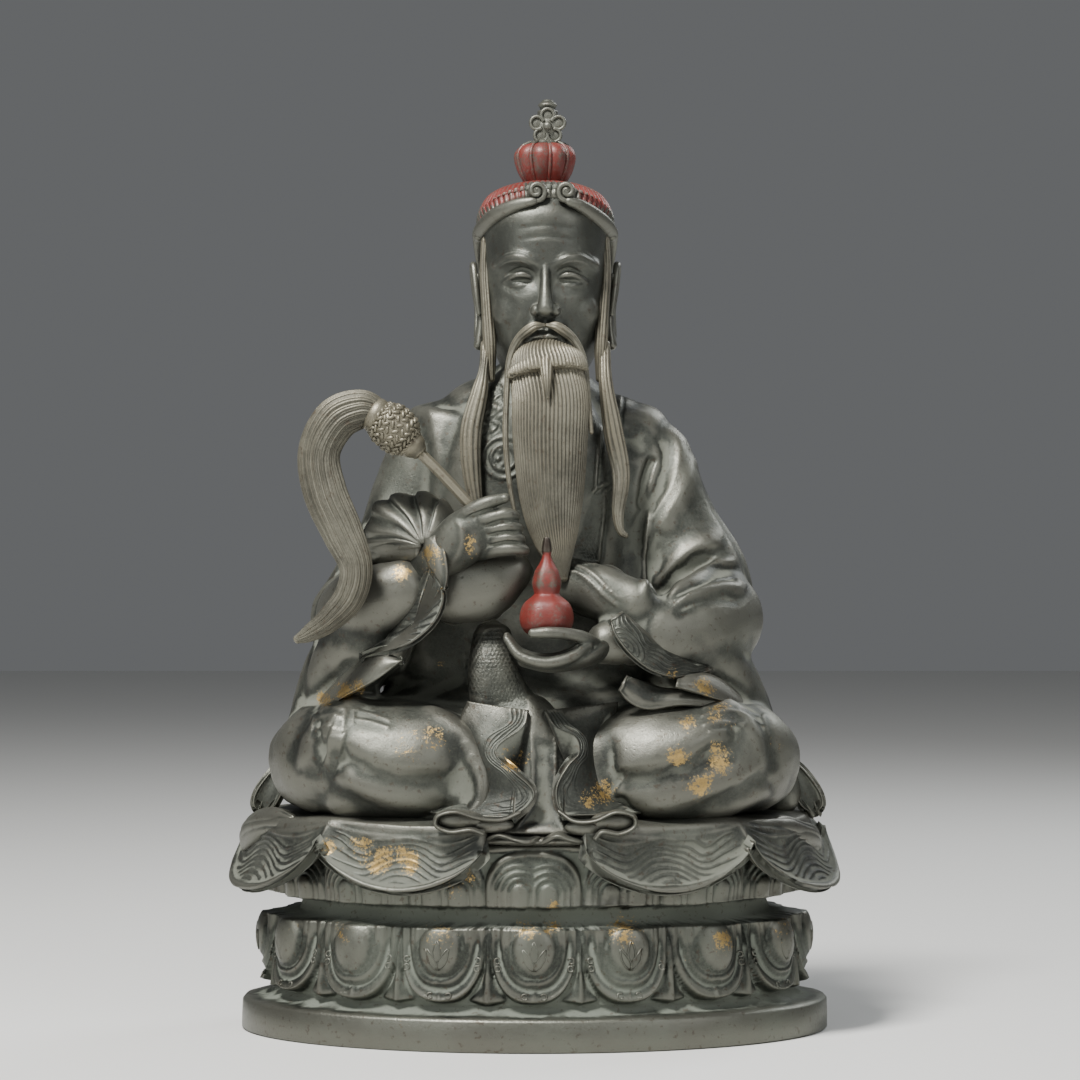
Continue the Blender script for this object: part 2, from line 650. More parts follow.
def hanging_petal(side, v):
    """How far a lower petal stands out: side is -1 to 1 across it, v is 0 at its root and 1 at its tip."""
    bowl = np.clip((v - 0.087) / 0.906, 0, 1.1)
    edge = (np.abs(side) ** 2.4 + bowl**2.4) ** (1 / 2.4)
    inside = 1 - step(edge, 0.92, 0.985)
    # A flat margin that flares out to the tip, a cushion inside it and a boss on that.
    stand = (4.2 + 2.6 * step(v, 0.3, 1.0)) * inside
    stand += 3.4 * np.clip(1 - (edge / 0.76) ** 2, 0, 1) ** 0.8
    boss = np.hypot(side / 0.47, (v - 0.27) / 0.31)
    stand += 3.4 * np.sqrt(np.clip(1 - boss**2, 0, 1))
    for ring, height, width in PETAL_LINES:
        stand += height * np.exp(-(((edge - ring) / width) ** 2))
    stand += 0.5 * np.exp(-((side / 0.03) ** 2)) * step(v, 0.76, 0.8) * inside
    apart = 1 - np.abs(side)
    fan = np.clip(1 - apart / (0.1 + 0.42 * np.clip((v - 0.55) / 0.45, 0, 1)), 0, 1)
    leaf = (4.4 * fan**0.5 + 0.9 * np.exp(-((apart / 0.05) ** 2))) * step(v, -0.3, 0.3)
    leaf *= 1 - step(v + 0.1 * apart, 0.94, 0.98)
    return np.maximum(stand, leaf * (edge > 0.93))


def standing_petal(across, z, front):
    """How far an upper petal stands out, `across` mm from its middle. The front ones overlap the others."""
    wide, tall = (20.8, 18.6) if front else (17.5, 16.5)
    edge = ((np.abs(across) / wide) ** 2.5 + (np.clip(z - 61.5, 0, 99) / tall) ** 2.5) ** (1 / 2.5)
    stand = (3.2 if front else 1.6) * (1 - step(edge, 0.92, 1.0)) + 2.4 * np.clip(1 - edge**2, 0, 1)
    from_arch = np.hypot(np.abs(across) - 5.7, np.clip(z - 62.5, 0, 99))
    for ring, height in ((10.8, 0.9), (8.1, 1.3), (5.6, 1.3)):
        stand += height * np.exp(-(((from_arch - ring) / 0.8) ** 2)) * (edge < 0.93)
    stand += 2.0 * np.sqrt(np.clip(1 - (from_arch / 3.9) ** 2, 0, 1))
    return stand + 0.6 * np.exp(-(((edge - 0.87) / 0.03) ** 2))


def two_petals(columns=104):
    """A grid of points (share of the pair's width, distance from the middle, height), in mm."""
    plate = [(0, 0), (60, 0), (121.6, 0), (122.5, 0.8), (122.6, 6), (122.4, 12), (121.4, 13.2), (117, 13.7),
             (112, 14.2)]
    at = np.linspace(-1, 1, columns)  # in petals, from the middle one
    rows = [(r + 0 * at, z) for r, z in plate]
    near = np.where(np.abs(at) < 0.5, 2 * at, 2 * (np.abs(at) - 1) * np.sign(at))
    for v in np.linspace(1, 0, 46):
        rows.append((108 - 3 * (1 - v) + hanging_petal(near, v) - 1.2 * step(v, 0.985, 1), 48 - 31 * v))
    rows += [(98.6 - 1.2 * math.sin(math.pi * k / 4) + 0 * at, 49.6 + 1.9 * k) for k in range(4)]
    beside = (np.abs(at) - 1) * PITCH
    for z in np.linspace(57, 80.4, 36):
        front = standing_petal(at * PITCH, z, True)
        behind = standing_petal(beside, z, False)
        rim = 1.6 * step(z, 77.6, 79.4) * (1 + 0.35 * np.cos(2 * np.pi * at))
        rows.append((104 + 2 * (z - 57) / 24 + np.maximum(np.maximum(front, behind), rim), z))
    rows += [(105.2 + 0 * at, 81.3), (102 + 0 * at, 81.2), (98 + 0 * at, 81), (50 + 0 * at, 81),
             (0 * at, 81)]
    share = np.linspace(-0.5, 0.5, columns)
    return np.stack([np.stack([share, radius, np.full(columns, float(z))], -1) for radius, z in rows])


def on_petal(spots, centre):
    """Points of a lower petal, from rows of side and v, as across, in front and up in mm."""
    side, v = np.array(spots).T
    across = (side + 2 * centre) * PITCH / 2
    front = -(108 - 3 * (1 - v) + hanging_petal(side, v))
    return np.stack([across, front, 48 - 31 * v], -1)


def margin_marks(centre):
    """Small curls in pairs on the petal's margin, and three pointed leaves on its boss."""
    marks = []
    curls = ((-0.79, 0.4, 0), (-0.78, 0.5, 3), (0.79, 0.4, 3), (0.78, 0.5, 0), (-0.2, 0.85, 0),
             (0.2, 0.85, 3))
    for side, v, start in curls:
        turn = start + np.linspace(0.4, 5.6, 9)
        curl = np.stack([side + 0.062 * np.cos(turn), v + 0.037 * np.sin(turn)], -1)
        marks.append((on_petal(curl, centre), 0.42))
    for lean in (-1, 0, 1):
        half = np.array([0, 0.07, 0.08, 0.03, 0, -0.03, -0.08, -0.07, 0])
        up = np.array([0.42, 0.36, 0.27, 0.18, 0.13, 0.18, 0.27, 0.36, 0.42])
        leaf = np.stack([half + lean * (0.02 + 0.75 * (0.42 - up)), up + 0.1 * abs(lean)], -1)
        marks.append((on_petal(leaf, centre), 0.36))
    return [loft([[*p, r, r] for p in line], 4, 9, facing=(0, -1, 0.02), ends=(0, 0)) for line, r in marks]


pair = two_petals()
marks_points, marks_faces = joined([form for centre in (-1, 0) for form in margin_marks(centre)])
marks_points = np.stack([marks_points[:, 0] / (2 * PITCH), -marks_points[:, 1], marks_points[:, 2]], -1)
print("the flat pair of petals:", pair.shape, "with marks of", len(marks_faces), "triangles")

# %% Wrap the row round the oval
def new_tree(name, sockets):
    """A book for a Geometry Nodes tree with these inputs and one output, and a signal for each input."""
    tree = bpy.data.node_groups.new(name, "GeometryNodeTree")
    tree.is_modifier = True
    for label, kind in sockets.items():
        tree.interface.new_socket(label, in_out="INPUT", socket_type="NodeSocket" + kind)
    tree.interface.new_socket("Result", in_out="OUTPUT", socket_type="NodeSocketGeometry")
    book = Book(tree)
    given = tree.nodes.new("NodeGroupInput")
    return book, [Signal(book, given.outputs[i]) for i in range(len(sockets))]


def ended(book, result, finish):
    """The tree, ended with the result in its material."""
    dressed = book.node("GeometryNodeSetMaterial", {}, {"Geometry": result, "Material": finish})
    out = book.tree.nodes.new("NodeGroupOutput")
    book.tree.links.new(dressed.socket, out.inputs[0])
    return book.tree


def wrapping_tree():
    """Pairs of petals in a row, which is then wrapped round an oval."""
    sockets = {"Pair": "Geometry", "Pairs": "Int", "Depth Over Width": "Float", "Finish": "Material"}
    book, (flat, count, oval, finish) = new_tree("petals round an oval", sockets)
    part = book.node("ShaderNodeMath", {"operation": "DIVIDE"}, {0: 1.0, 1: count})
    stride = book.node("ShaderNodeCombineXYZ", {}, {0: part})
    row = book.node("GeometryNodeMeshLine", {}, {"Count": count, "Offset": stride})
    size = book.node("ShaderNodeCombineXYZ", {}, {0: part, 1: 1.0, 2: 1.0})
    laid = book.node("GeometryNodeInstanceOnPoints", {}, {"Points": row, "Instance": flat, "Scale": size})
    laid = book.node("GeometryNodeRealizeInstances", {}, {0: laid})
    where = book.node("GeometryNodeInputPosition")
    parts = [book.node("ShaderNodeSeparateXYZ", {}, {0: where}, k) for k in range(3)]
    circle = book.node("GeometryNodeCurvePrimitiveCircle", {}, {"Resolution": 1024, "Radius": 1.0})
    squash = book.node("ShaderNodeCombineXYZ", {}, {0: 1.0, 1: oval, 2: 1.0})
    guide = book.node("GeometryNodeTransform", {}, {"Geometry": circle, "Scale": squash})
    factor = (parts[0] + 0.75).math("FRACT")
    settings = {"mode": "FACTOR", "use_all_curves": True}
    spot = book.node("GeometryNodeSampleCurve", settings, {"Curves": guide, "Factor": factor}, 1)
    x, y = (book.node("ShaderNodeSeparateXYZ", {}, {0: spot}, k) for k in range(2))
    wrapped = book.node("ShaderNodeCombineXYZ", {}, {0: x * parts[1], 1: y * parts[1], 2: parts[2]})
    placed = book.node("GeometryNodeSetPosition", {}, {"Geometry": laid, "Position": wrapped})
    welded = book.node("GeometryNodeMergeByDistance", {}, {"Geometry": placed, "Distance": 0.01})
    return ended(book, welded, finish)


def grown(base, tree, **inputs):
    """What a tree makes of a base object, as points and triangles. Inputs go by their sockets' names."""
    modifier = base.modifiers.new("grow", "NODES")
    modifier.node_group = tree
    sockets = {item.name: item.identifier for item in tree.interface.items_tree if item.in_out == "INPUT"}
    for name, value in inputs.items():
        modifier[sockets[name.replace("_", " ")]] = value
    return read_back(base)


def flat_grid(name, rows):
    """An open grid of points as an object."""
    tall, wide = rows.shape[:2]
    i = (np.arange(tall - 1)[:, None] * wide + np.arange(wide - 1)).ravel()
    return new_object(name, rows.reshape(-1, 3), np.stack([i, i + 1, i + wide + 1, i + wide], -1))


base = flat_grid("petal_pair", pair)
wrap = wrapping_tree()
base_marks = new_object("petal_marks", marks_points, marks_faces)
marks = turned_out(*grown(base_marks, wrap, Pairs=8, Depth_Over_Width=OVAL, Finish=LOTUS_BRONZE))
lotus = turned_out(*grown(base, wrap, Pairs=8, Depth_Over_Width=OVAL, Finish=LOTUS_BRONZE))
# Wax is never quite even, but the underside and the seat on top stay flat.
uneven = ripple(lotus[0], 26, 5) * 0.25 + ripple(lotus[0], 9, 6) * 0.08
lotus = swollen(lotus, uneven * (lotus[0][:, 2] > 1) * (lotus[0][:, 2] < 80))
print("wrapped ring:", len(lotus[0]), "points, widest", round(np.abs(lotus[0][:, 0]).max(), 2))
lotus = joined([thinned(*lotus, LOTUS_WITHOUT_MARKS), marks])
finished("lotus", lotus, "base_bronze", LOTUS_BRONZE, replaces=("lotus_pedestal",))

# %% [markdown]
# ## The robe in one skin
# Torso, folded legs, arms, sleeves and the cloth that falls from them are one casting and flow into each
# other. Each is a loft, drawn a little rounder than it will end up. They are fused twice: coarsely and
# smoothed a lot, so that the joins melt, and then with the apron, finely and smoothed a little. The folds,
# borders and ornament are chased afterwards.

# %% The body of the robe
SEAT = 81.3  # the robe rests on the lotus here
COARSE, FINE = 1.3, 0.75  # sizes of the voxels in which the robe is fused, in mm


def pleats(count, depth):
    """Relief of cloth folded lengthwise, softer than hair."""
    return lambda share, angle: -depth * np.abs(np.sin(count * angle / 2)) ** 1.3 + 0 * share


torso = loft(
    [
        [0, 3, SEAT, 96, 66], [0, 3, 96, 97, 66], [0, 6, 112, 91, 61], [0, 9, 128, 77, 51],
        [0, 11, 145, 59, 40], [0, 10, 170, 52, 35], [0, 8, 205, 51, 34], [0, 8, 235, 50, 32],
        [1, 8, 254, 44, 27], [3, 6, 266, 30, 21], [4, 3, 275, 18, 16], [4.5, 0, 290, 15, 15],
    ],
    160, 120, square=2.2, ends=(0, 0.5), relief=pleats(7, 0.03),
)
# Cloth over both shoulders, which ties the arms to the chest.
yoke = loft(
    [
        [0, 8, 140, 62, 34], [0, 8, 170, 68, 33], [0, 8, 205, 68, 30], [0, 8, 228, 64, 29],
        [1.5, 8, 244, 59, 27], [3, 8, 253, 51, 24], [3, 7, 260, 42, 20], [3, 6, 267, 30, 16],
        [4, 4, 276, 18, 13],
    ],
    120, 80, square=2.5, ends=(0.4, 0.4),
)
shin = loft(
    [
        [-22, -48, 110, 18, 17], [-38, -43, 112, 23, 28], [-60, -37, 113, 25, 32], [-80, -24, 114, 24.5, 31],
        [-91, -14, 112, 19, 25],
    ],
    120, 60, square=2.5, ends=(0.7, 0.6),
)
lap = loft([[-60, -6, 118, 18, 38], [-30, -16, 116, 18, 34], [0, -20, 112, 17, 32], [30, -16, 116, 18, 34],
            [60, -6, 118, 18, 38]], 60, 40, square=2.4)
arms = [
    loft([[-38, 10, 250, 15, 18], [-47, 9, 232, 18, 21], [-53, 5, 205, 20, 23], [-62, 0, 180, 24, 25],
          [-70, 0, 160, 24, 26]], 80, 50, ends=(0.8, 0.6), relief=pleats(4, 0.05)),
    loft([[42, 10, 249, 15, 18], [50, 9, 232, 17.5, 21], [57, 5, 208, 20, 23], [65, 1, 188, 23.5, 25],
          [68, -2, 172, 24, 26]], 80, 50, ends=(0.8, 0.6)),
]
right_sleeve = loft(
    [[-72, 6, 170, 20, 17], [-72, -16, 170, 20, 19], [-70, -32, 173, 19, 17], [-64, -42, 177, 17, 15],
     [-56, -48, 181, 14.5, 11], [-50, -51, 184, 12.5, 9]],
    100, 50, ends=(0.7, 0.8),
)
left_sleeve = loft(
    [[72, 6, 172, 20, 18], [74, -16, 172, 21, 19], [68, -34, 169, 20, 15], [58, -46, 166, 16, 10],
     [50, -53, 164, 12, 7]],
    100, 50, ends=(0.7, 0.8),
)
chest = loft([[-1, -10, 272, 16, 10], [-1, -14, 258, 26, 12.5], [-1, -16, 240, 33, 13],
              [0, -17, 220, 36, 13], [1, -17, 200, 36, 13], [1, -14, 184, 36, 12]], 80, 60, square=2.4,
             ends=(0.5, 0.4))
sleeve_mouth = loft([[46, -49, 163, 9, 8], [34, -55, 161.5, 9.5, 8], [26, -57, 161, 8.6, 8]], 48, 24,
                    ends=(0.5, 0.5))
# The inner sleeve bulges under the right fist, and shows as a smooth round behind the left wrist.
inner_sleeves = [
    loft([[-46, -44, 186, 10, 9], [-33, -49, 183, 14, 10], [-19, -51, 185, 14, 10], [-8, -51, 191, 9, 8]],
         48, 30),
    loft([[13, -36, 186, 10, 9], [26, -45, 182, 11.5, 10], [40, -51, 177, 11, 9]], 60, 40),
]
falls = [
    loft([[-60, -44, 166, 14, 8], [-74, -32, 156, 15, 13], [-82, -10, 142, 15, 27], [-91, 2, 122, 13, 30],
          [-97, 6, 100, 11, 24]], 80, 50, square=2.3, ends=(0.5, 0.7)),
    loft([[62, -44, 160, 12, 8], [74, -30, 150, 13, 13], [82, -8, 134, 15, 27], [93, 2, 112, 13, 28],
          [102, 6, 96, 11, 20]], 80, 50, square=2.3, ends=(0.5, 0.7)),
]
apron = loft([[-17, -40, 164, 8, 8], [-17, -46, 150, 10, 9], [-12, -46, 134, 14, 10], [-4, -53, 121, 18, 10],
              [0, -57, 106, 20, 10], [0, -62, 90, 25, 10], [0, -66, 81.6, 30, 11]], 60, 50, square=2.6,
             ends=(0.6, 0))
# A long fold that comes off each knee and lies over the flap's outer side.
knee_fold = loft([[-42, -54, 131, 6, 6], [-31, -60, 125, 6, 6], [-24, -63.5, 115, 5.4, 6],
                  [-20.5, -66, 105, 4.6, 6], [-22, -67, 97, 4, 6], [-27, -69, 90, 3.4, 5]], 40, 50)
# Cloth between each leg and the flap beside it.
bridge = loft([[-31, -45, 127, 8, 8], [-28, -50, 116, 11, 13], [-27, -52, 104, 12, 14],
               [-27, -54, 90, 12, 13]], 40, 30)
masses = [torso, yoke, shin, mirrored(shin), lap, *arms, *inner_sleeves, right_sleeve, left_sleeve, *falls]
masses += [bridge, mirrored(bridge), knee_fold, chest, sleeve_mouth]
body = smoothed(fused(masses, COARSE), 16)
robe = smoothed(fused([body, apron], FINE), 4)
print("robe:", len(robe[0]), "points")

# %% Chase the robe
chaser = Chaser(*robe, calm=12)
# Long soft folds: curve, height, softness of the swelling side, sharpness of the falling side.
FOLDS = [
    ([(54.8, 252.2), (59.6, 244.3), (60.1, 236.6), (57.3, 225.1), (51.9, 215.4), (48.5, 207.6),
      (46.8, 195)], 3.2, 8, 2.6),
    ([(65.3, 239.1), (62.8, 226.5), (59.4, 218.1), (52.7, 205.5)], 1.4, 5, 2.6),
    ([(50, 181), (55, 189), (62.3, 196), (70, 200.5), (79, 202)], 2.4, 5, 2.2),
    ([(54, 179.4), (64.7, 186.6), (74.5, 192.4), (84, 193.6)], 1.7, 2.2, 2.2),
    ([(56, 177), (67.8, 181.4), (79, 183.6), (89, 182.4)], 1.9, 3.4, 2.4),
    ([(-88, 118.5), (-81.7, 119.8), (-74.6, 117.3), (-63.2, 111.5), (-51, 109.4), (-31, 110.5)], 2.9, 11, 4),
    ([(-84, 106), (-76, 102.5), (-67, 98), (-55.2, 94.7), (-43.1, 93.8), (-30, 97)], 2.5, 10, 4),
    ([(-89, 95), (-81.7, 90), (-73.7, 82.9), (-59, 80.8), (-43.1, 82.1), (-32, 86)], 2.2, 6, 2.4),
    ([(33, 109), (40, 109.8), (51.9, 111.5), (63.6, 115.7), (72.9, 120.7), (84, 121.5)], 2.8, 10, 4),
    ([(34, 100), (38, 98), (48.9, 93.8), (64.5, 96.3), (81.3, 103), (94, 110)], 2.4, 8, 3.6),
    ([(36, 92), (48.5, 86.3), (64, 84.2), (74.1, 86.6), (86.7, 93.3), (99, 99)], 2.6, 7, 3.2),
    ([(-44, 262), (-41, 247), (-39, 230), (-41, 208)], 2.0, 8, 4),
    ([(-55, 254), (-60, 238), (-64, 220), (-66, 206)], 1.6, 7, 4),
    ([(-70, 150), (-82, 138), (-93, 122), (-98, 106)], 1.8, 7, 3),
    ([(-66, 142), (-78, 132), (-90, 116)], 1.4, 5, 2.6),
    ([(95, 104), (92, 122), (82, 134), (70, 143)], 1.8, 7, 3),
]
for curve, height, soft, sharp in FOLDS:
    chaser.fold(curve, height, soft, sharp)
# Grooves and plain ridges: curve, half width, height.
GROOVES = [
    ([(50.2, 239), (47.6, 232), (46, 224), (45, 216)], 1.8, -2.6),
    ([(48.5, 219.3), (46.4, 206), (46, 192.5), (46.4, 178.7)], 1.4, 1.8),
    ([(53.2, 180.4), (59.9, 187), (67.2, 192.4), (76, 196.4)], 1.5, -2.4),
    ([(56.5, 178.4), (67.2, 183.6), (78.1, 186.4), (85, 186.4)], 1.4, -1.2),
    ([(-86, 116.5), (-80, 114)], 6.5, 1.8),
    ([(-1.1, 124), (-1.1, 94.2), (-8.2, 81.6)], 0.9, 0.7),
    ([(9, 124), (9, 94.2), (12.8, 81.6)], 0.9, 0.7),
    ([(4, 120), (4, 84)], 2.4, -0.6),
]
for curve, width, height in GROOVES:
    chaser.line(curve, width, height)
# Cut lines: the borders of collar, belt and cuffs, and the bars across the knees.
BELT_ARCS = [
    [(12.4, 190.4), (17.8, 189.8), (23.3, 186), (29.2, 180.4), (35.9, 175)],
    [(12.4, 193.1), (18.9, 192.5), (24.9, 188.8), (30.7, 183), (37, 177.8)],
]
chaser.use("front", near=(-80, -34))
for curve in BELT_ARCS:
    chaser.line(curve, 0.75, 0.7, 0.08)
chaser.use("front")
CUTS = [
    [(15.3, 194.9), (21.2, 194.3), (26.7, 193.7)],
    [(30, 227), (28.8, 211.8), (26.7, 193.7)],
    [(24.1, 223.6), (27.1, 225.7), (30, 227.4)],
    [(28.3, 252.2), (26.7, 240.4), (25.4, 224.4)],
    [(36.3, 266.4), (35.5, 257.2), (34.2, 248.8)],
    [(-18.3, 269), (-20, 258.5), (-22.9, 246.7)],
    [(-12, 269), (-12.4, 258), (-13.2, 249.6)],
]
for curve in CUTS:
    chaser.line(curve, 0.75, 0.75, 0.08)
    chaser.line([(x + 1.2, z - 0.9) for x, z in curve], 0.8, -0.45, 0.08)


def rings_of(centre, *radii):
    angle = np.linspace(0, 2 * np.pi, 25)
    return [np.stack([centre[0] + r * np.cos(angle), centre[1] + r * np.sin(angle)], -1) for r in radii]


for circle in rings_of((-13, 238), 5.2, 8.6):
    chaser.line(circle, 0.7, 0.8, 0)
for dx, dz in ((-1.4, 3), (-2.4, -0.6), (-0.8, -3.2)):
    chaser.line([(-13 + dx, 238 + dz), (-12.9 + dx, 238 + dz)], 0.9, 0.8, 0)


STIPPLED = (
    [(24.5, 223), (30, 226.5), (28.5, 210), (26.5, 194.5), (17, 195), (20, 208)],
    [(-26.3, 164), (-12, 165), (-7.4, 148), (-3.2, 133.2), (-18, 136.5), (-28.2, 141)],
)
COLLAR_BAND = [(-18.5, 268), (-12.5, 268), (-13.5, 250), (-22, 247), (-20, 258)]


def stippled(points):
    """A shallow bed of closely punched dots; their finest grain is in the material."""
    x, _, z = points.T
    row = np.round(z / 1.7)
    dx = np.mod(x + 0.85 * (row % 2), 1.7) - 0.85
    dz = z - row * 1.7
    return -0.15 - 0.4 * np.exp(-(dx**2 + dz**2) / 0.3)


def curls(points):
    """Small scrolling leaves in low relief."""
    x, _, z = points.T
    return 0.55 * np.sin(1.5 * x + 1.8 * np.sin(0.85 * z)) * np.cos(1.2 * z + 0.6 * np.sin(1.4 * x))


for area in STIPPLED:
    chaser.patch(area, stippled)
chaser.patch(COLLAR_BAND, curls)
chaser.patch([(30, 232), (36, 236), (36, 214), (30, 216)], lambda spots: 0.5 * curls(spots * 1.2))
BARS = [
    [(-92, 130.5), (-86, 131.5), (-79, 130)], [(-92, 127), (-86, 128), (-79, 126.5)],
    [(-92, 123), (-86, 123.5), (-80, 122)], [(-92.5, 131), (-93, 122)], [(-78.5, 130.5), (-79, 121)],
    [(-74.5, 130.5), (-68, 129.8), (-60, 127)], [(-74.5, 127), (-68, 126.3), (-60.5, 123.8)],
    [(-75, 131), (-75.5, 124)], [(70, 132), (82, 134), (95, 130)], [(69, 128.5), (82, 130.5), (97, 126)],
    [(70, 124.5), (78, 126), (88, 125)], [(72, 121.5), (80, 122.5)], [(96, 131), (99, 121)],
]
for curve in BARS:
    chaser.line(curve, 0.8, 0.42, 0.04)
# The back and the sides, which the photograph doesn't show, carry long plain folds of the same cloth.
chaser.use("back")
for x in (-52, -36, -18, 2, 20, 38, 54):
    curve = [(x * 0.35, 258 - abs(x) * 0.25), (x * 0.7, 215), (x * 0.95, 165), (x * 1.45, 110)]
    chaser.fold(curve if x > 0 else curve[::-1], 1.8, 8, 3.2)
for drop in (0, 12, 25):
    chaser.fold([(-34 - drop, 120 - drop), (0, 108 - drop * 0.8), (34 + drop, 120 - drop)], 1.4, 7, 3)
chaser.line([(-26, 262), (-14, 268), (0, 270), (14, 268), (30, 262)], 1.2, 1.0)
for view, side in (("left", -1), ("right", 1)):
    chaser.use(view)
    for shift in (-18, -6, 8, 20):
        curve = [(4 + shift * 0.4, 232), (2 + shift * 0.8, 200), (shift, 165), (shift * 1.2, 130)]
        chaser.fold(curve[::-side], 1.5, 7, 3)
robe = chaser.done()
robe = swollen(robe, 0.14 * ripple(robe[0], 13, 3) + 0.05 * ripple(robe[0], 4, 4))


def punched_ground(spots):
    return sum(within(area, as_seen(spots)) for area in STIPPLED) * (spots[:, 1] < -15)


finished("robe", robe, "bronze", ROBE_BRONZE, punched=punched_ground, replaces=("seated_figure",))

# %% [markdown]
# ## Cuffs and sleeve ends
# The wide sleeves end in pointed cuffs, with a border of waves, and their loose corners turn up like leaves.
# Each is a thin sheet between two edge curves, bulging towards us: a ruled sheet keeps the edge crisp, which
# the fused robe can't. The cloth gathered above the right wrist is a sheet of its own, whose pleats spread
# from one point and overlap, as a fan's do.

# %% Sheets between two edges
def sheet(face, across, along, thick):
    """A closed sheet whose outer face is face(u, v)."""
    u, v = np.meshgrid(np.linspace(0, 1, across), np.linspace(0, 1, along), indexing="ij")
    outer = face(u, v)
    du = np.gradient(outer, axis=0)
    dv = np.gradient(outer, axis=1)
    inner = outer + unit(np.cross(du, dv)) * thick
    return skin(np.concatenate([outer, inner[:, ::-1]], axis=1))


def ruled(left, right, bulge, wave_at=None, line=0.3, rim=0.6, both=False, wide=0.13):
    """
    A sheet face between two edge curves, which are lists of x, y, z. It bulges towards us, carries lines
    where wave_at(aside, back) passes a whole number, and has a raised rim along the right edge, or along
    both. `aside` is the distance from the right edge in mm, and `back` the distance from the far end.
    """

    def face(u, v):
        shape = v.shape
        a = smooth_line(left, v.ravel()).reshape(*shape, 3)
        b = smooth_line(right, v.ravel()).reshape(*shape, 3)
        points = a + (b - a) * u[..., None]
        width = np.linalg.norm(b - a, axis=-1)
        steps = np.linalg.norm(np.diff((a + b) / 2, axis=1), axis=-1)
        run = np.concatenate([0 * v[:, :1], np.cumsum(steps, axis=1)], axis=1)
        aside, back = (1 - u) * width, run[:, -1:] - run
        edge = np.exp(-(((aside - 0.7) / 0.55) ** 2)) + np.exp(-(((back - 0.8) / 0.6) ** 2)) * (not both)
        if both:
            edge = edge + np.exp(-(((u * width - 0.7) / 0.55) ** 2))
        points[..., 1] -= np.sin(np.pi * u) * bulge + rim * edge
        if wave_at:
            lines = np.exp(-(((np.mod(wave_at(aside, back), 1) - 0.5) / wide) ** 2))
            points[..., 1] -= line * lines * step(aside, 1.2, 1.9) * step(u, 0.02, 0.12) * step(back, 1.2, 2)
        return points

    return face


# %% Cuffs, corners and the fan
def leaf_waves(aside, back):
    """Long waves that run aslant to the cuff's edge, and a lens of nested arcs near its tip."""
    slant = (back + 1.25 * aside - 1.2 * np.sin(0.5 * aside)) / 4.6
    lens = np.hypot(1.15 * (aside - 6.6), 0.55 * (back - 15)) / 1.35
    return np.where(lens < 3, lens, slant)


def nested_waves(aside, back):
    """Nested half ovals near the wrist, then waves along the edge towards the elbow."""
    lens = 4 * np.hypot((aside - 1.6) / 6.6, (back - 13) / 9)
    return np.where(lens < 4, lens, (aside + 0.9 * np.sin(0.45 * back)) / 1.9)


RIGHT_CUFF = (
    [(-42.5, -59, 193), (-46.4, -57.5, 184.6), (-49.6, -56, 177.4), (-55.7, -53.5, 168.1),
     (-63.9, -48.5, 159.8), (-71, -44, 156.5)],
    [(-41, -62.5, 191.5), (-36.8, -64.5, 184.7), (-36.3, -64.5, 177.6), (-40.1, -64, 169.3),
     (-48.3, -63, 162.1), (-55.5, -61, 159.2), (-63.7, -57, 157.4), (-71, -52, 154.6)],
)
TURNED_BACK = (
    [(-44.2, -60, 203.5), (-44.6, -61, 197.9), (-42.3, -63, 191.9), (-38.4, -64.5, 186.2),
     (-36.6, -65, 182.9)],
    [(-38, -61.5, 205.4), (-35.5, -65, 198), (-34.4, -66.5, 190.8), (-34.6, -66.4, 186.2),
     (-35.5, -65.8, 182)],
)
LEFT_CUFF = (
    [(73, -44, 151.4), (64.3, -51, 153.4), (56.5, -55.5, 157), (49.7, -58.5, 161), (44.9, -60.5, 165.3),
     (40, -61.5, 170.6), (35.2, -60.5, 174.4)],
    [(72, -47, 149.4), (63, -55, 148.2), (55.4, -60, 147.6), (46.7, -64, 150.4), (38.8, -66.5, 156.3),
     (33.1, -67, 163), (31, -66, 167), (30.2, -63.5, 171)],
)
CORNERS = (
    ([(-53, -59, 155), (-62, -56, 157.5), (-72, -49, 153), (-83, -38, 143.5), (-94, -26, 132)],
     [(-53, -60, 154), (-62, -60, 147.5), (-70, -56.5, 143), (-79, -48, 138), (-93, -34, 128)]),
    ([(92, -26, 131), (82, -38, 142), (72, -49, 148.5), (64, -56, 149), (57.6, -58, 147.4)],
     [(92, -32, 126), (81, -46, 135.5), (72, -55, 139), (65, -59, 141.2), (56.4, -61, 143.6)]),
    ([(80, -44, 141), (60, -55, 142), (48, -58, 143.5), (41, -60, 147), (37, -61, 148.5)],
     [(80, -48, 134), (60, -58, 136), (46, -61, 134.5), (38, -62, 137.5), (33.5, -62, 142.5)]),
)
sheets = [
    sheet(ruled(*RIGHT_CUFF, 1.6, leaf_waves, 0.4, 0.7), 56, 220, 2.4),
    sheet(ruled(*TURNED_BACK, 1.2, None, rim=0.5), 24, 80, 2.2),
    sheet(ruled(*LEFT_CUFF, 1.8, nested_waves, 0.34, 0.7), 64, 200, 2.4),
]
sheets += [sheet(ruled(*corner, 2.2, None, rim=0.5), 26, 60, 2.2) for corner in CORNERS]
SIDE_LEAF = (
    [(-103, 2, 113), (-110, -1, 107.5), (-116.5, -3, 99), (-118, -3, 93), (-115, -2, 89)],
    [(-100, -4, 110), (-103.5, -6, 103), (-105.5, -6, 97), (-109, -5, 91.5), (-114.6, -3, 88.9)],
)
side_leaf = sheet(ruled(*SIDE_LEAF, -2.2, None, rim=0.9, both=True), 30, 50, 2.6)
sheets += [side_leaf, mirrored(side_leaf, 1.5)]

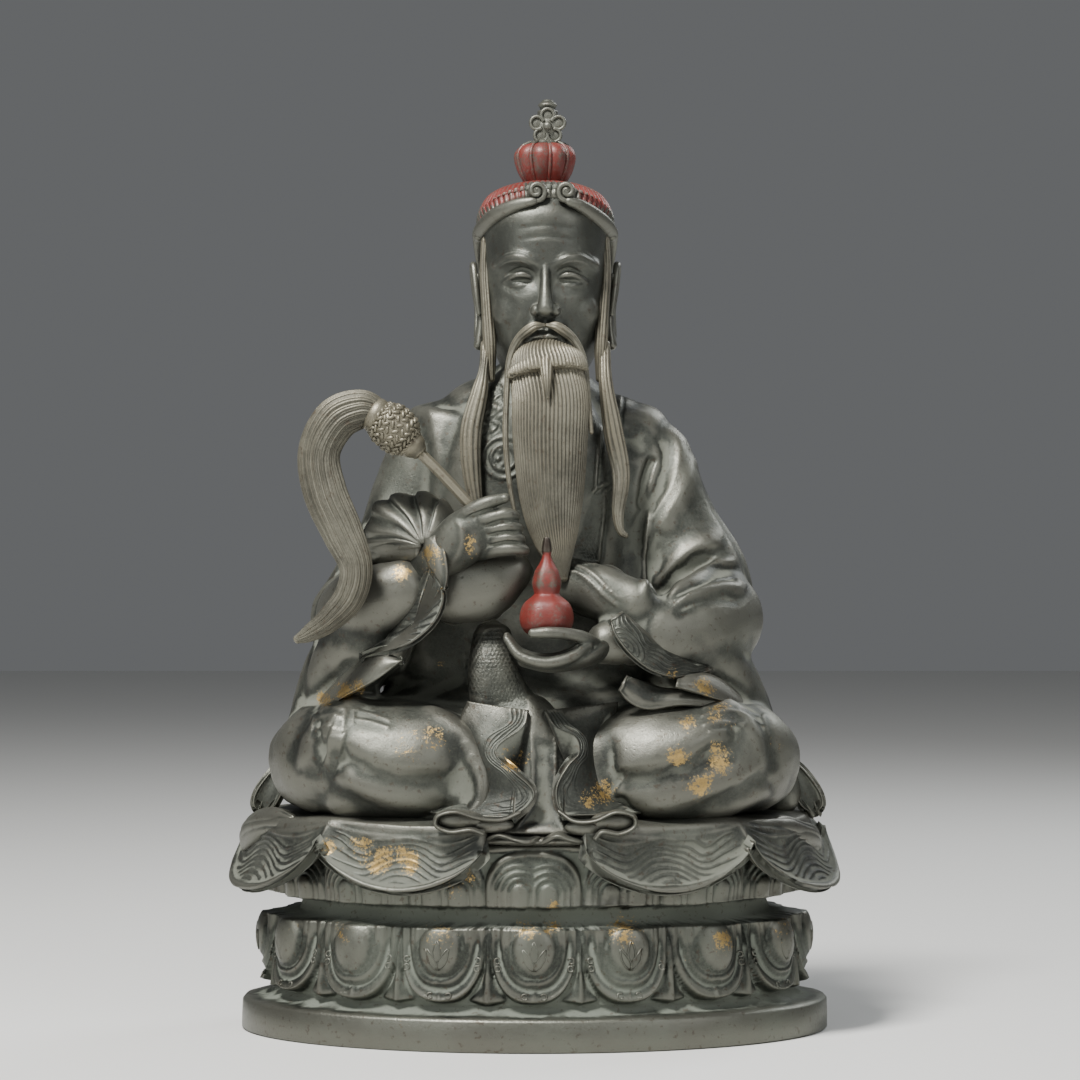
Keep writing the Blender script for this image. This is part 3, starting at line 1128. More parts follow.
# The fan above the right wrist.
FAN_FROM = np.array([-44.5, -59.5, 200.5])
FAN_EDGE = [(-30.9, -50, 211.8), (-39.6, -45, 220.3), (-52.1, -42, 221.2), (-63.7, -42, 217.6),
            (-68.1, -42, 206.4), (-67.6, -42, 199.7), (-66.1, -40, 192.9)]
PLEATS = 7


def fan_face(u, v):
    edge = smooth_line(FAN_EDGE, u.ravel()).reshape(*u.shape, 3)
    within_pleat = np.mod(PLEATS * u + 0.08 * np.sin(6 * v), 1)
    swell = step(within_pleat, 0, 0.8) * (1 - step(within_pleat, 0.88, 1))
    reach = (0.06 + 0.94 * v) * (1 + 0.04 * np.sin(np.pi * within_pleat) * step(v, 0.7, 1))
    points = FAN_FROM + (edge - FAN_FROM) * reach[..., None]
    rise = 2.1 * v * swell + 2.6 * np.sin(np.pi * v) - 0.5 * step(v, 0.93, 1)
    points += np.array([0, -0.8, 0.6]) * rise[..., None]
    return points


fan = sheet(fan_face, 260, 36, 2.2)
gather = loft([[-44, -53, 199, 5, 5], [-50, -43, 201, 13, 11], [-54, -32, 202, 18, 16]], 60, 30, facing=UP,
              ends=(0.3, 0.2))
finished("cuffs", joined([*sheets, fan, gather]), "bronze", ROBE_BRONZE)

# %% [markdown]
# ## The hem
# The robe spreads over the seat and hangs round it in shallow swags. It is one sheet, so it is drawn as one:
# a function gives its outer face for a share of the way round and a share of the way down, and the wave
# lines are ridges of the same function. Its thickness is added inwards.

# %% The hem's sheet
WAVE_EVERY = 2.7  # mm from one wave line to the next
HEM_LOBES = [(0.03, 0.14, 19), (0.14, 0.28, 22), (0.28, 0.39, 15), (0.39, 0.61, 15)]  # from, to, drop in mm
quarter = np.linspace(0, 2 * np.pi, 4001)
oval_xy = np.stack([np.sin(quarter), -OVAL * np.cos(quarter)], -1)
oval_run = np.concatenate([[0], np.cumsum(np.linalg.norm(np.diff(oval_xy, axis=0), axis=1))])
oval_run /= oval_run[-1]


def on_oval(share):
    """x and y of the unit oval at equal steps round it, from the front towards +X."""
    share = np.mod(share, 1)
    return np.interp(share, oval_run, oval_xy[:, 0]), np.interp(share, oval_run, oval_xy[:, 1])


def hem_face(u, v):
    """The outer face of the hem at u from 0 to 1 round it and v from 0, under the robe, to 1 at its edge."""
    share = 0.032 + 0.936 * u
    folded = np.where(share > 0.61, 1 - share, share)
    drop, bowl, across = 0 * share, 0 * share, 0 * share
    for start, end, deep in HEM_LOBES:
        at = np.clip((folded - start) / (end - start), 0, 1)
        drop = drop + deep * np.sin(np.pi * at) ** 0.6
        bowl = bowl + np.where((at > 0) & (at < 1), np.sin(np.pi * at), 0)
        across = across + np.where((at > 0) & (at < 1), at, 0)
    # Over the seat's edge it bends as a rounded corner does, then hangs and flares a little.
    over = np.minimum(1, v / 0.42) * np.pi / 2
    down = np.clip((v - 0.3) / 0.7, 0, 1)
    at_side = np.abs(np.sin(2 * np.pi * share)) ** 3
    radius = 88 + 28 * np.sin(over) ** 0.8 + (3 + 6 * at_side) * down
    radius = radius + 1.2 * (1 - bowl) * down - 2.4 * bowl * np.sin(np.pi * down)
    radius = radius + 2.8 * down**5 * (0.2 + 0.8 * bowl)
    z = SEAT + 9.7 - 4 * (1 - np.cos(over)) - (5 + drop) * down
    z = z + 2.2 * (1 - bowl) * np.sin(np.pi * np.clip(v * 1.2, 0, 1))
    # Wave lines follow the edge, with two dips and a hump in each swag, and nested arcs under the hump.
    tall = 5 + drop
    dips = 1.5 * np.cos(4 * np.pi * across) * step(down, 0.05, 0.5) * (1 - 0.35 * down)
    wave = down * tall / WAVE_EVERY + dips
    wave = wave + 0.12 * np.sin(9 * np.pi * across + 5 * down)
    ridge = np.exp(-(((np.mod(wave, 1) - 0.5) / 0.14) ** 2))
    ridge = ridge * step(down, 0.1, 0.16) * (1 - step(down, 0.84, 0.9))
    crease = np.exp(-(((down - 0.09) / 0.03) ** 2))
    rim = np.exp(-(((down - 0.96) / 0.045) ** 2))
    lift = 0.5 * ridge * step(bowl, 0.1, 0.35) + 1.1 * rim - 0.5 * crease * step(bowl, 0.1, 0.4)
    x, y = on_oval(share)
    return np.stack([x * (radius + lift), y * (radius + lift), z + 0.2 * rim], -1)


hem = sheet(hem_face, 1250, 84, 4.2)
hem = swollen(hem, 0.22 * ripple(hem[0], 15, 21) + 0.06 * ripple(hem[0], 4, 22))
print("hem spans", np.round(hem[0].max(0) - hem[0].min(0), 1))
ROLLED_ENDS = (
    [[-99, -34, 87, 3, 4], [-106, -24, 87, 5, 6], [-113, -12, 84, 6, 7.5], [-119, 2, 79, 5, 7],
     [-121, 12, 74, 3, 5]],
    [[95, -40, 85, 3, 3.6], [101, -32, 85, 4.6, 5.4], [108, -22, 82, 4.8, 6], [114, -10, 79, 5, 6.4],
     [118, 4, 74, 3, 5]],
)
ends = [loft(stations, 90, 60, facing=UP, relief=strands(9, 0.09, 0.2)) for stations in ROLLED_ENDS]
finished("hem", joined([hem, *ends]), "bronze", ROBE_BRONZE)

# %% [markdown]
# ## The flaps in front
# Two loose ends of the belt cloth hang between the legs. Each is a ruled sheet between two edges, bulging
# towards us, with waves along its border. Its outer edge goes into the leg, and its lower edge rolls
# outwards and folds back, which a flat ribbon along a curve gives.

# %% The front flaps
def flap_waves(aside, back):
    """Lines that follow the side edge and the lower edge, a little wavy, in a border some 8 mm wide."""
    near = (np.maximum(aside, 0.1) ** -3.0 + np.maximum(0.8 * back, 0.1) ** -3.0) ** (-1 / 3)
    wavy = (near + 0.5 * np.sin(0.5 * (back + aside))) / 1.55
    return np.where(wavy < 5, wavy, 0)


LEFT_FLAP = (
    [(-27, -57, 138), (-30, -58, 130), (-29, -58, 119), (-29, -59, 108), (-35, -60, 99), (-42, -64, 93.5)],
    [(-2, -61, 134.5), (-4, -65, 128), (-13.5, -68, 121), (-14, -71, 116), (-7, -75, 110), (0, -77, 103.5),
     (-1.5, -78, 98), (-9, -78, 92.3)],
)
RIGHT_FLAP = (
    [(34, -50, 137.5), (28, -56, 128), (26, -57, 118), (30, -58, 108), (37, -60, 99), (43, -64, 93.5)],
    [(3.5, -61, 134.5), (8, -65, 128), (16, -68, 124), (17.5, -71, 118), (13, -74, 113), (8.6, -76, 105),
     (8.8, -77, 98), (12, -78, 93)],
)
# The second flap's edges run the other way round, so its thickness is negative to lie behind its face.
flaps = [
    sheet(ruled(*edges, 3, flap_waves, 0.24, 0.7, wide=0.17), 90, 170, thick)
    for edges, thick in ((LEFT_FLAP, 3.0), (RIGHT_FLAP, -3.0))
]
ROLLS = (
    [[-6, -77, 94.5, 0.9, 2.4], [-13, -79, 92, 1, 3], [-22, -80, 92.6, 1, 3.4], [-31, -80.5, 95.2, 1, 3.6],
     [-38, -80, 93.6, 1, 3.6], [-38.6, -80, 89.6, 1, 3.4], [-33, -81, 87.4, 1, 3.4], [-25, -82, 88.2, 1, 3],
     [-20, -82, 86.6, 0.9, 2.6]],
    [[10, -77, 95, 0.9, 2.4], [16, -79, 91.4, 1, 3], [24, -80, 91.6, 1, 3.4], [32, -80.5, 95, 1, 3.6],
     [39, -80, 93.6, 1, 3.6], [39.6, -80, 89.4, 1, 3.4], [34, -81, 86.6, 1, 3.4], [27, -82, 87.4, 1, 3],
     [24, -82, 84.6, 0.9, 2.6]],
)
rolls = [loft(stations, 20, 100, ends=(0.6, 0.6)) for stations in ROLLS]
fills = [ball((-29.5, -77, 91.6), (10, 4.6, 4.2), 40), ball((31.5, -77, 91), (9.4, 4.6, 4.2), 40)]
fills += [ball((-17, -77, 89.6), (9, 3.6, 3.2), 32), ball((20, -77, 88.6), (8, 3.6, 3.2), 32)]
# The ends of the under-robe curl on the lotus between the two rolls.
TRAILS = (
    [[-19, -72, 84, 1.6, 4], [-14, -75, 85.6, 1.5, 5], [-8, -76, 84, 1.3, 5], [-3, -76, 83, 1.6, 5],
     [1, -74, 84, 1.2, 3]],
    [[4, -74, 83, 1.3, 4], [9, -76, 85.4, 1.6, 5], [14, -76, 84, 1.4, 5], [19, -74, 83, 1.5, 4],
     [23, -71, 84, 1.2, 3]],
)
trails = [loft(stations, 40, 40, relief=strands(5, 0.12, 0.3)) for stations in TRAILS]
bed = loft([[-24, -66, 83, 5, 2.2], [-10, -70, 83, 6, 2.2], [2, -71, 83, 6, 2.2], [14, -70, 83, 6, 2.2],
            [26, -66, 83, 5, 2.2]],
           24, 40, facing=UP)
finished("front_flaps", joined([*flaps, *rolls, *fills, *trails, bed]), "bronze", ROBE_BRONZE)

# %% [markdown]
# ## The hands
# A hand is a palm with fingers that melt into it, so it is fused as the robe was, only finer, and the lines
# between the fingers are chased again. The right one closes round the whisk, the left one lies open under
# the gourd.

# %% Hands
fist = [
    loft([[-54, -40, 186, 8, 8], [-44, -48, 190.5, 8.4, 8], [-35, -56, 198, 10, 8.4],
          [-26, -60, 205, 11, 8.2], [-17, -60, 206, 9.6, 7]], 48, 40, ends=(0.6, 0.8)),
    loft([[-33, -60, 209, 3, 3.4], [-26, -64.5, 214, 3.2, 3.3], [-19, -66.5, 217.6, 2.8, 2.9],
          [-11.6, -65.5, 219.6, 2.1, 2.3]],
         32, 30),
]
# Knuckle and tip of each finger, from the first to the little one.
FINGERS = (((-25, 209.6), (-8.2, 212.6)), ((-21.5, 206), (-7, 207.9)), ((-19.5, 202), (-6, 203.4)),
           ((-18.6, 197.9), (-4.4, 199)))
for (x0, z0), (x1, z1) in FINGERS:
    fist.append(loft([[x0 - 3, -58.5, z0 - 0.6, 2.8, 3.4], [x0 + 4, -64.6, z0 + 1, 3, 3.8],
                      [x1 - 4.4, -66.6, z1 + 0.4, 2.8, 3.6], [x1 - 0.8, -64, z1, 2.5, 3.2],
                      [x1, -60, z1 - 0.3, 2.1, 2.8]], 32, 44))
palm = [
    loft([[40, -44, 164, 6, 7], [28, -54, 160, 5.6, 8], [18, -62, 155.6, 4.6, 11], [6, -64, 153, 3.4, 12],
          [-4, -64, 154.6, 2.8, 11]],
         48, 40),
    loft([[25, -63, 160, 3.2, 3.4], [20, -69.5, 163.4, 2.9, 3], [13, -74, 165.4, 2.5, 2.6],
          [5, -75.6, 165.9, 2.4, 2.5], [-0.6, -74.6, 165.6, 2, 2.2]], 32, 36),
]
# The first finger's outer side is the cup's front rim; the others lie behind it.
for y, lift in ((-75.5, 0), (-69, 0.6), (-62.5, 1), (-56.5, 0.4)):
    palm.append(loft([[21.4, y + 6, 160.6 + lift, 2.2, 2.6], [14.2, y + 1, 156 + lift, 2.4, 3],
                      [4.3, y - 1, 154 + lift, 2.4, 3.1], [-5.6, y, 156.8 + lift, 2.1, 3],
                      [-11, y + 2.4, 163.4 + lift, 1.5, 2.4]], 32, 44))
HAND_VOXEL = 0.45
hands = smoothed(fused([*fist, *palm], HAND_VOXEL), 4)
chaser = Chaser(*hands, calm=3)
GROOVES = [
    ([(-29.2, 212.8), (-21, 215.6), (-13, 217)], 0.6, -0.7),
    ([(-20.6, 209), (-14, 211), (-8.4, 211)], 0.6, -0.9),
    ([(-19.5, 205.2), (-12, 206.6), (-6.4, 206.4)], 0.6, -0.6),
    ([(-19, 200.6), (-12, 202.4), (-5, 202)], 0.6, -0.9),
    ([(-34, 214), (-30.5, 207), (-31.5, 199), (-36, 192)], 1.4, 0.4),
    ([(-13.4, 221.4), (-10.8, 221)], 0.9, 0.3), ([(-4.4, 166), (-1, 166.6)], 0.8, 0.3),
]
for curve, width, height in GROOVES:
    chaser.line(curve, width, height, 0.2)
finished("hands", chaser.done(), "bronze", ROBE_BRONZE)

# %% [markdown]
# ## The head
# The face is a plain, calm one on a drawing book's proportions: from the chin to the hairline are three
# equal parts, with the nose in the middle one, and the face is five eyes wide. It is built of soft forms,
# fused and smoothed. Nose, eyes and lids are fused on more finely, and brows and lips are chased at the end.

# %% Head and face
CHIN, HAIRLINE = 272.0, 338.0
HEAD_X = 4.5
THIRD = (HAIRLINE - CHIN) / 3
NOSE_Z, BROW_Z = CHIN + THIRD, CHIN + 2 * THIRD
EYE_Z = BROW_Z - 6
EYE_WIDE = 9.8
x = HEAD_X  # short, because every form of the head starts from it
SKULL_VOXEL, FACE_VOXEL = 0.6, 0.42
skull = [
    loft([[x, -11, CHIN - 2, 15, 15], [x, -9, 284, 22, 24], [x, -7, 304, 25.4, 29], [x, -5, 325, 26.8, 31.6],
          [x, -4, 333, 27.2, 32.4], [x, -3, 341, 25, 28.8]], 96, 80, square=2.15, ends=(0.4, 0.4)),
    ball((x, -34, NOSE_Z - 9), (10.5, 4.4, 8)),
    ball((x, -30, CHIN + 6), (9.5, 7, 7)),
]
for s in (-1, 1):
    skull += [
        ball((x + s * 12, -21, NOSE_Z + 4), (10.5, 10.2, 10.5)),
        loft([[x + s * 3.2, -34.6, BROW_Z - 0.5, 2, 2.6], [x + s * 11, -33.2, BROW_Z + 2.6, 2.8, 3],
              [x + s * 20.5, -24.6, BROW_Z + 0.6, 2.4, 2.6]], 28, 40),
    ]
skull = smoothed(fused(skull, SKULL_VOXEL), 14)
chaser = Chaser(*skull, calm=3)
chaser.flat = chaser.points[:, [0, 2]]  # the face is drawn square on, from its own middle
for s in (-1, 1):
    socket = [(x + s * (EYE_WIDE - 4), EYE_Z + 0.4), (x + s * (EYE_WIDE + 4.4), EYE_Z + 0.2)]
    chaser.line(socket, 4.4, -3.0, 0)
    cheek = [(x + s * 8, NOSE_Z + 2), (x + s * 11.4, NOSE_Z - 6), (x + s * 12, NOSE_Z - 13)]
    chaser.line(cheek, 1.6, -0.7, 0.3)
skull = chaser.done()
nose = [
    loft([[x, -33.4, BROW_Z + 1, 2.4, 2.6], [x, -35, BROW_Z - 6, 2.2, 3.2], [x, -38, NOSE_Z + 9, 2.7, 3.6],
          [x, -39.8, NOSE_Z + 3.4, 3.4, 3.7]], 40, 40, ends=(1, 0.9)),
]
for s in (-1, 1):
    nose.append(ball((x + s * 3.7, -36.8, NOSE_Z + 3), (2.8, 3.4, 2.7), 24))
    eye = x + s * EYE_WIDE
    nose.append(ball((eye, -29, EYE_Z), (5.4, 3.8, 3.8), 32))
    upper = [[eye - s * 5.8, -29.6, EYE_Z - 0.6], [eye - s * 3, -31.8, EYE_Z + 1.3],
             [eye, -32.4, EYE_Z + 1.9], [eye + s * 3.2, -31, EYE_Z + 1.4],
             [eye + s * 6.6, -26.8, EYE_Z - 0.6]]
    lower = [[eye - s * 5.4, -29.6, EYE_Z - 0.9], [eye - s * 2.6, -31.4, EYE_Z - 2.1],
             [eye + s * 1, -31.2, EYE_Z - 2.4], [eye + s * 4, -29.4, EYE_Z - 1.9],
             [eye + s * 6.6, -26.8, EYE_Z - 0.8]]
    nose.append(loft([[p[0], p[1] - 0.5, p[2] + 0.2, 1.35, 1.5] for p in upper], 20, 30))
    nose.append(loft([[p[0], p[1] - 0.4, p[2] - 0.2, 0.95, 1.1] for p in lower], 20, 30))
face = smoothed(fused([skull, *nose], FACE_VOXEL), 4)
chaser = Chaser(*face, calm=3)
chaser.flat = chaser.points[:, [0, 2]]
for s in (-1, 1):
    eye = x + s * EYE_WIDE
    slit = [(eye - 4.6, EYE_Z - 0.7), (eye - 1.6, EYE_Z - 0.5), (eye + 1.6, EYE_Z - 0.5),
            (eye + 4.6, EYE_Z - 0.7)]
    crease = [(eye - 5.6, EYE_Z + 2.4), (eye, EYE_Z + 4.4), (eye + 5.8, EYE_Z + 2.2)]
    under = [(eye - 4.4, EYE_Z - 4.4), (eye, EYE_Z - 5.6), (eye + 4.6, EYE_Z - 4.2)]
    chaser.line(slit, 0.6, -0.8, 0.15)
    chaser.line(crease, 0.7, -0.75, 0.2)
    chaser.line(under, 1.2, -0.2, 0.3)
    brow = np.array(
        [(x + s * 4, BROW_Z + 0.4), (x + s * 10, BROW_Z + 3.4), (x + s * 16, BROW_Z + 3.4),
         (x + s * 22, BROW_Z - 0.5)]
    )
    chaser.line(brow, 1.8, 0.5, 0.2)
    for hair in (-1.4, -0.5, 0.5, 1.4):
        chaser.line(brow + (0, hair), 0.42, -0.3, 0.2)
    nostril = [(x + s * 4.8, NOSE_Z + 5), (x + s * 6.4, NOSE_Z + 2.4), (x + s * 5.2, NOSE_Z)]
    chaser.line(nostril, 0.7, -0.2, 0.3)
    chaser.line([(x + s * 1.6, NOSE_Z + 0.4), (x + s * 3.6, NOSE_Z + 0.4)], 0.8, -0.8, 0.2)
mouth = NOSE_Z - 9.4
lips = [(x - 6.4, mouth + 0.3), (x - 3, mouth + 0.1), (x, mouth - 0.3), (x + 3, mouth + 0.1),
        (x + 6.4, mouth + 0.3)]
upper_lip = [(x - 5.4, mouth + 1.3), (x - 1.8, mouth + 1.9), (x, mouth + 1.5), (x + 1.8, mouth + 1.9),
             (x + 5.4, mouth + 1.3)]
chaser.line(upper_lip, 1.0, 0.8, 0.25)
chaser.line([(x - 4.6, mouth - 1.8), (x, mouth - 2.5), (x + 4.6, mouth - 1.8)], 1.2, 1.1, 0.3)
chaser.line(lips, 0.5, -1.1, 0.15)
chaser.line([(x, NOSE_Z - 0.5), (x, mouth + 3.5)], 0.9, -0.4, 0.2)
for rise in (10, 14.5):
    furrow = [(x - 13, BROW_Z + rise), (x, BROW_Z + rise + 1.6), (x + 13, BROW_Z + rise)]
    chaser.line(furrow, 1.0, -0.35, 0.3)
face = chaser.done()

ears = []
for s in (-1, 1):
    out = x + s * 26.4
    ears += [
        loft([[out + s * 1.4, -6, NOSE_Z - 9, 2.2, 3], [out + s * 0.6, -4.5, NOSE_Z, 1.8, 3.2],
              [out + s * 1.2, -3, NOSE_Z + 10, 1.6, 3.8], [out + s * 1.8, -2, BROW_Z - 2, 1.4, 5]], 28, 36,
             ends=(1, 0.8)),
        loft([[out + s * 1.2, -8, NOSE_Z + 4, 1.1, 1.1], [out + s * 2.4, -7.6, NOSE_Z + 13, 1.3, 1.3],
              [out + s * 3.6, -4, BROW_Z + 2, 1.5, 1.5], [out + s * 4, 1.5, BROW_Z + 1, 1.5, 1.5],
              [out + s * 3.4, 3.5, BROW_Z - 7, 1.3, 1.3], [out + s * 2.2, 0.5, NOSE_Z + 6, 1.2, 1.2],
              [out + s * 2, -3, NOSE_Z - 5, 1.6, 1.6]], 18, 70, facing=(1, 0, 0)),
    ]
finished("head", joined([face, *ears]), "bronze", FACE_BRONZE)

# %% [markdown]
# ## Beard and long locks
# Hair is cast as rounded strands with sharp grooves between them. The beard is one loft whose section has
# many strands all round, converging with it to the tip. Shorter lofts lie over it: a first tier with a
# ragged end, the tuft under the lip, the moustache's two long ends, the locks before the ears and those on
# the chest.

# %% Beard, moustache and locks
beard = loft(
    [[x, -30, 277, 10, 6], [x, -36, 272.5, 14.4, 8], [x + 2, -40, 261, 15.8, 8.3],
     [x + 2, -42, 242, 15.2, 8], [x + 2.5, -44, 220, 13, 6.8], [x + 4, -46, 203, 9, 5.2],
     [x + 7, -47, 188, 2.4, 2.3]],
    620, 120, relief=strands(56, 0.075, 0.01), ends=(0.6, 1),
)


def ragged(share, angle):
    """Strands that end unevenly."""
    end = 0.93 + 0.05 * np.sin(11 * angle) + 0.03 * np.sin(29 * angle)
    return strands(60, 0.06)(share, angle) - 0.09 * step(share - end, 0, 0.05)


# Over the beard lie a shorter tier and a tuft under the lip.
tier = loft([[x, -31, 279.6, 10.4, 7], [x, -35.2, 277, 14.4, 9.4], [x + 0.6, -37.6, 273.6, 16.4, 10],
             [x + 1, -38.6, 270.4, 16.8, 10]], 620, 40, relief=ragged, ends=(0.5, 0.05))
tuft = loft([[x, -38.6, 280.6, 2.4, 1.8], [x + 0.3, -44.6, 276, 3.1, 2.6], [x + 0.6, -49, 268, 2.2, 2.2],
             [x + 1, -50, 261, 0.8, 0.9]], 90, 50, relief=strands(9, 0.16))
hair = [beard, tier, tuft]
MOUSTACHES = (
    [[x - 0.8, -39.6, NOSE_Z - 3.2, 0.9, 1], [x - 5.4, -40, NOSE_Z - 4.2, 2.2, 2.1],
     [x - 11.4, -37.4, NOSE_Z - 9.4, 1.9, 2], [x - 14.8, -37, 276, 1.5, 1.6],
     [x - 15.8, -40.4, 262, 1.3, 1.5], [x - 16.2, -43.4, 244, 1.3, 1.5], [x - 14.6, -45.6, 226, 1.1, 1.3],
     [x - 12, -46.6, 212, 0.8, 1]],
    [[x + 0.8, -39.6, NOSE_Z - 3.2, 0.9, 1], [x + 5.4, -40, NOSE_Z - 4.2, 2.2, 2.1],
     [x + 11.8, -37.2, NOSE_Z - 9.4, 1.9, 2], [x + 15.8, -36.8, 276, 1.5, 1.6],
     [x + 17.4, -39.4, 262, 1.2, 1.4], [x + 18.8, -42, 247, 0.9, 1]],
)
hair += [loft(stations, 60, 70, relief=strands(8, 0.18)) for stations in MOUSTACHES]
CHEST_LOCKS = (
    [[-20, -20, 284, 2.4, 2.6], [-21, -24, 273, 2.2, 2.4], [-22.6, -27, 264, 3.6, 2.8],
     [-26, -29.5, 248, 4.6, 2.8], [-25.6, -31, 230, 4, 2.6], [-22, -32, 208, 1.6, 2]],
    [[29, -20, 284, 2.4, 2.6], [29.4, -26, 268, 3, 2.8], [32.4, -29, 248, 4.2, 2.8],
     [35.6, -30, 230, 3.8, 2.6], [34.4, -31, 214, 2.6, 2.2], [35.4, -31.6, 207, 1.7, 2],
     [37.4, -31.6, 205, 1.2, 1.6]],
)
hair += [loft(stations, 76, 80, relief=strands(10, 0.17)) for stations in CHEST_LOCKS]
for s in (-1, 1):
    side_lock = [[x + s * 24.6, -13, 328, 2.2, 4.6], [x + s * 24.9, -15, 314, 2.5, 4.4],
                 [x + s * 24, -18.5, 299, 2.6, 4], [x + s * 23, -21.5, 284, 2.8, 3.2],
                 [x + s * 22.4, -22, 270, 1.6, 2.2]]
    hair.append(loft(side_lock, 70, 56, relief=strands(11, 0.16)))
print("hair forms", len(hair))
finished("beard_and_locks", joined(hair), "bronze", HAIR_BRONZE)

# %% [markdown]
# ## The combed crown, band and topknot
# The hair is combed up from all round, under a smooth band that rises to two scrolls. On it sit a lobed bun,
# a flower and a knob. The hair and bun keep much of their red lacquer, thinner towards the back. The band is
# a piece of its own, so that no lacquer gets on it.

# %% Crown and topknot
def spiral(centre, turns, out, hand):
    """Stations of a flat scroll that starts below its middle and winds in from radius `out`."""
    stations = []
    count = int(14 * turns)
    for k in range(count + 1):
        left = 1 - k / count
        angle = hand * 2 * np.pi * k / 14 - np.pi / 2
        radius = 0.4 + (out - 0.4) * left
        thick = 0.8 + 0.5 * left
        stations.append([centre[0] + radius * math.cos(angle), centre[1] - 1.4 * (1 - left),
                         centre[2] + radius * math.sin(angle), thick, 1.4])
    return stations


def combed(share, angle):
    """Grooves that stay as deep towards the middle, where the crown gets smaller."""
    return (0.034 + 0.05 * share) * (np.abs(np.sin(32 * angle)) ** 0.6 - 1)


crown = loft([[x, -5, 331, 27.6, 31.6], [x, -2, 337, 29, 32.6], [x, 0, 345, 25.6, 27.6],
              [x, 1, 350.6, 17, 18], [x, 1, 353.6, 9, 10]], 450, 50, relief=combed, ends=(0.1, 0.2))
bun = loft([[x, 0, 352, 8, 8], [x, 0, 358, 11.6, 11.6], [x, 0, 364.6, 13.2, 13.2], [x, 0, 368.4, 11, 11],
            [x, 0, 370, 7, 7]], 200, 50, relief=strands(9, 0.16), ends=(0.2, 0.3))
# Each seam of the bun as distances from the middle and heights.
SEAM = ((7.4, 352.6), (10.6, 358), (12.1, 364.6), (10, 368.6), (6.6, 370.4))
seams = []
for a in np.arange(9) * 2 * np.pi / 9 + np.pi / 2:
    stations = [[x + r * math.sin(a), -r * math.cos(a), z, 0.75, 0.75] for r, z in SEAM]
    seams.append(loft(stations, 10, 24))
neck = [
    loft([[x + 0.4, 0, 369, 6.2, 6], [x + 0.5, 0, 371.4, 4.8, 4.6], [x + 0.8, 0, 374, 3.6, 3.6],
          [x + 0.9, 0, 382, 3.2, 3.2]], 48, 40, ends=(0.2, 0.2)),
    loft([[x + 1, 0, 381.8, 4.1, 4.1], [x + 1, 0, 383.6, 4.3, 4.3], [x + 1, 0, 384.3, 3.2, 3.2],
          [x + 1, 0, 385.2, 3.4, 3.4], [x + 1, 0, 386.4, 4, 4], [x + 1, 0, 388, 2.4, 2.4]], 48, 40,
         ends=(0.3, 0.3)),
]
# The open flower has five hollow petals with raised rims round a boss, and a plain calyx behind.
FLOWER = (x + 1, 376.8)
flower = [
    ball((FLOWER[0], -5.8, FLOWER[1]), (1.9, 1.7, 1.9), 20),
    ball((FLOWER[0], -2, FLOWER[1]), (6, 3, 6), 28),
]
for k in range(5):
    a = math.radians(90 + 72 * k)
    cx, cz = FLOWER[0] + 4.7 * math.cos(a), FLOWER[1] + 4.7 * math.sin(a)
    flower.append(ball((cx, -3.2, cz), (3.3, 1.5, 3.3), 20))
    ring = [[cx + 2.7 * math.cos(b), -4.6, cz + 2.7 * math.sin(b), 0.75, 0.9]
            for b in np.linspace(a - 2.5, a + 2.5, 11)]
    flower.append(loft(ring, 10, 30, facing=(0, -1, 0.02)))

# The band runs from behind each ear over the forehead's edge and ends in a scroll that curls outwards.
SCROLL_X = x + 2.6
angles = np.linspace(-1.75, 1.75, 15)
nape = [[x + 27.8 * math.sin(a), -5 + 31 * math.cos(a), 330, 2.4, 2] for a in angles]
band = [loft(nape, 20, 60, facing=UP)]
for s in (-1, 1):
    coil = spiral((SCROLL_X + s * 6.2, -34.6, 346.2), 1.6, 3.9, -s)
    run = [
        [x + s * 26.6, 6, 316, 1.6, 1.6], [x + s * 27.2, 3, 323, 2.4, 1.8], [x + s * 27.4, -5, 329.4, 3, 2],
        [x + s * 27, -13, 331.6, 3.2, 2], [x + s * 24.4, -21, 334.4, 3.2, 2],
        [x + s * 19.6, -28, 337.6, 3, 2], [x + s * 13 + 1, -33, 340.6, 2.5, 1.9],
        [x + s * 8 + 2, -35, 341.8, 1.9, 1.7],
    ]
    band.append(loft(run + coil, 20, 220, facing=(0, -1, 0.02)))
    band.append(ball((SCROLL_X + s * 6.2, -32.6, 346.2), (3.7, 2.6, 3.7), 24))
    band.append(ball((SCROLL_X + s * 6.2, -35.8, 346.2), (1.5, 1.3, 1.5), 16))


def lacquered(points):
    """Red on the crown and the bun, thinner at the back, low down and outside, and none on the flower."""
    z = points[:, 2]
    outside = np.hypot(points[:, 0] - x, 0.9 * (points[:, 1] + 5)) - 26.5 - 0.5 * (345 - z)
    scrolls = (z < 351) & (np.abs(points[:, 0] - SCROLL_X) < 11) & (points[:, 1] < -25)
    share = 0.78 * step(z, 333, 337) * (1 - step(z, 369, 371)) * (1 - 0.9 * scrolls)
    at_back = step(points[:, 1], 2, 22)
    share = share * (1 - 0.5 * at_back) * (1 - 0.25 * (1 - step(z, 338, 344)))
    return share * (1 - 0.25 * step(outside, 4, 8))


topknot = joined([crown, bun, *seams, *neck, *flower])
finished("crown_and_topknot", topknot, "bronze", ROBE_BRONZE, red=lacquered)
finished("hair_band", joined(band), "bronze", ROBE_BRONZE)

# %% [markdown]
# ## The whisk
# A rod, a knob and a tail of long hair that curls over and hangs down. The knob is plaited over with short
# strands. Geometry Nodes lay one on each point of a stack of rings, along the knob, and tilt every other row
# to the other side, which reads as weaving.

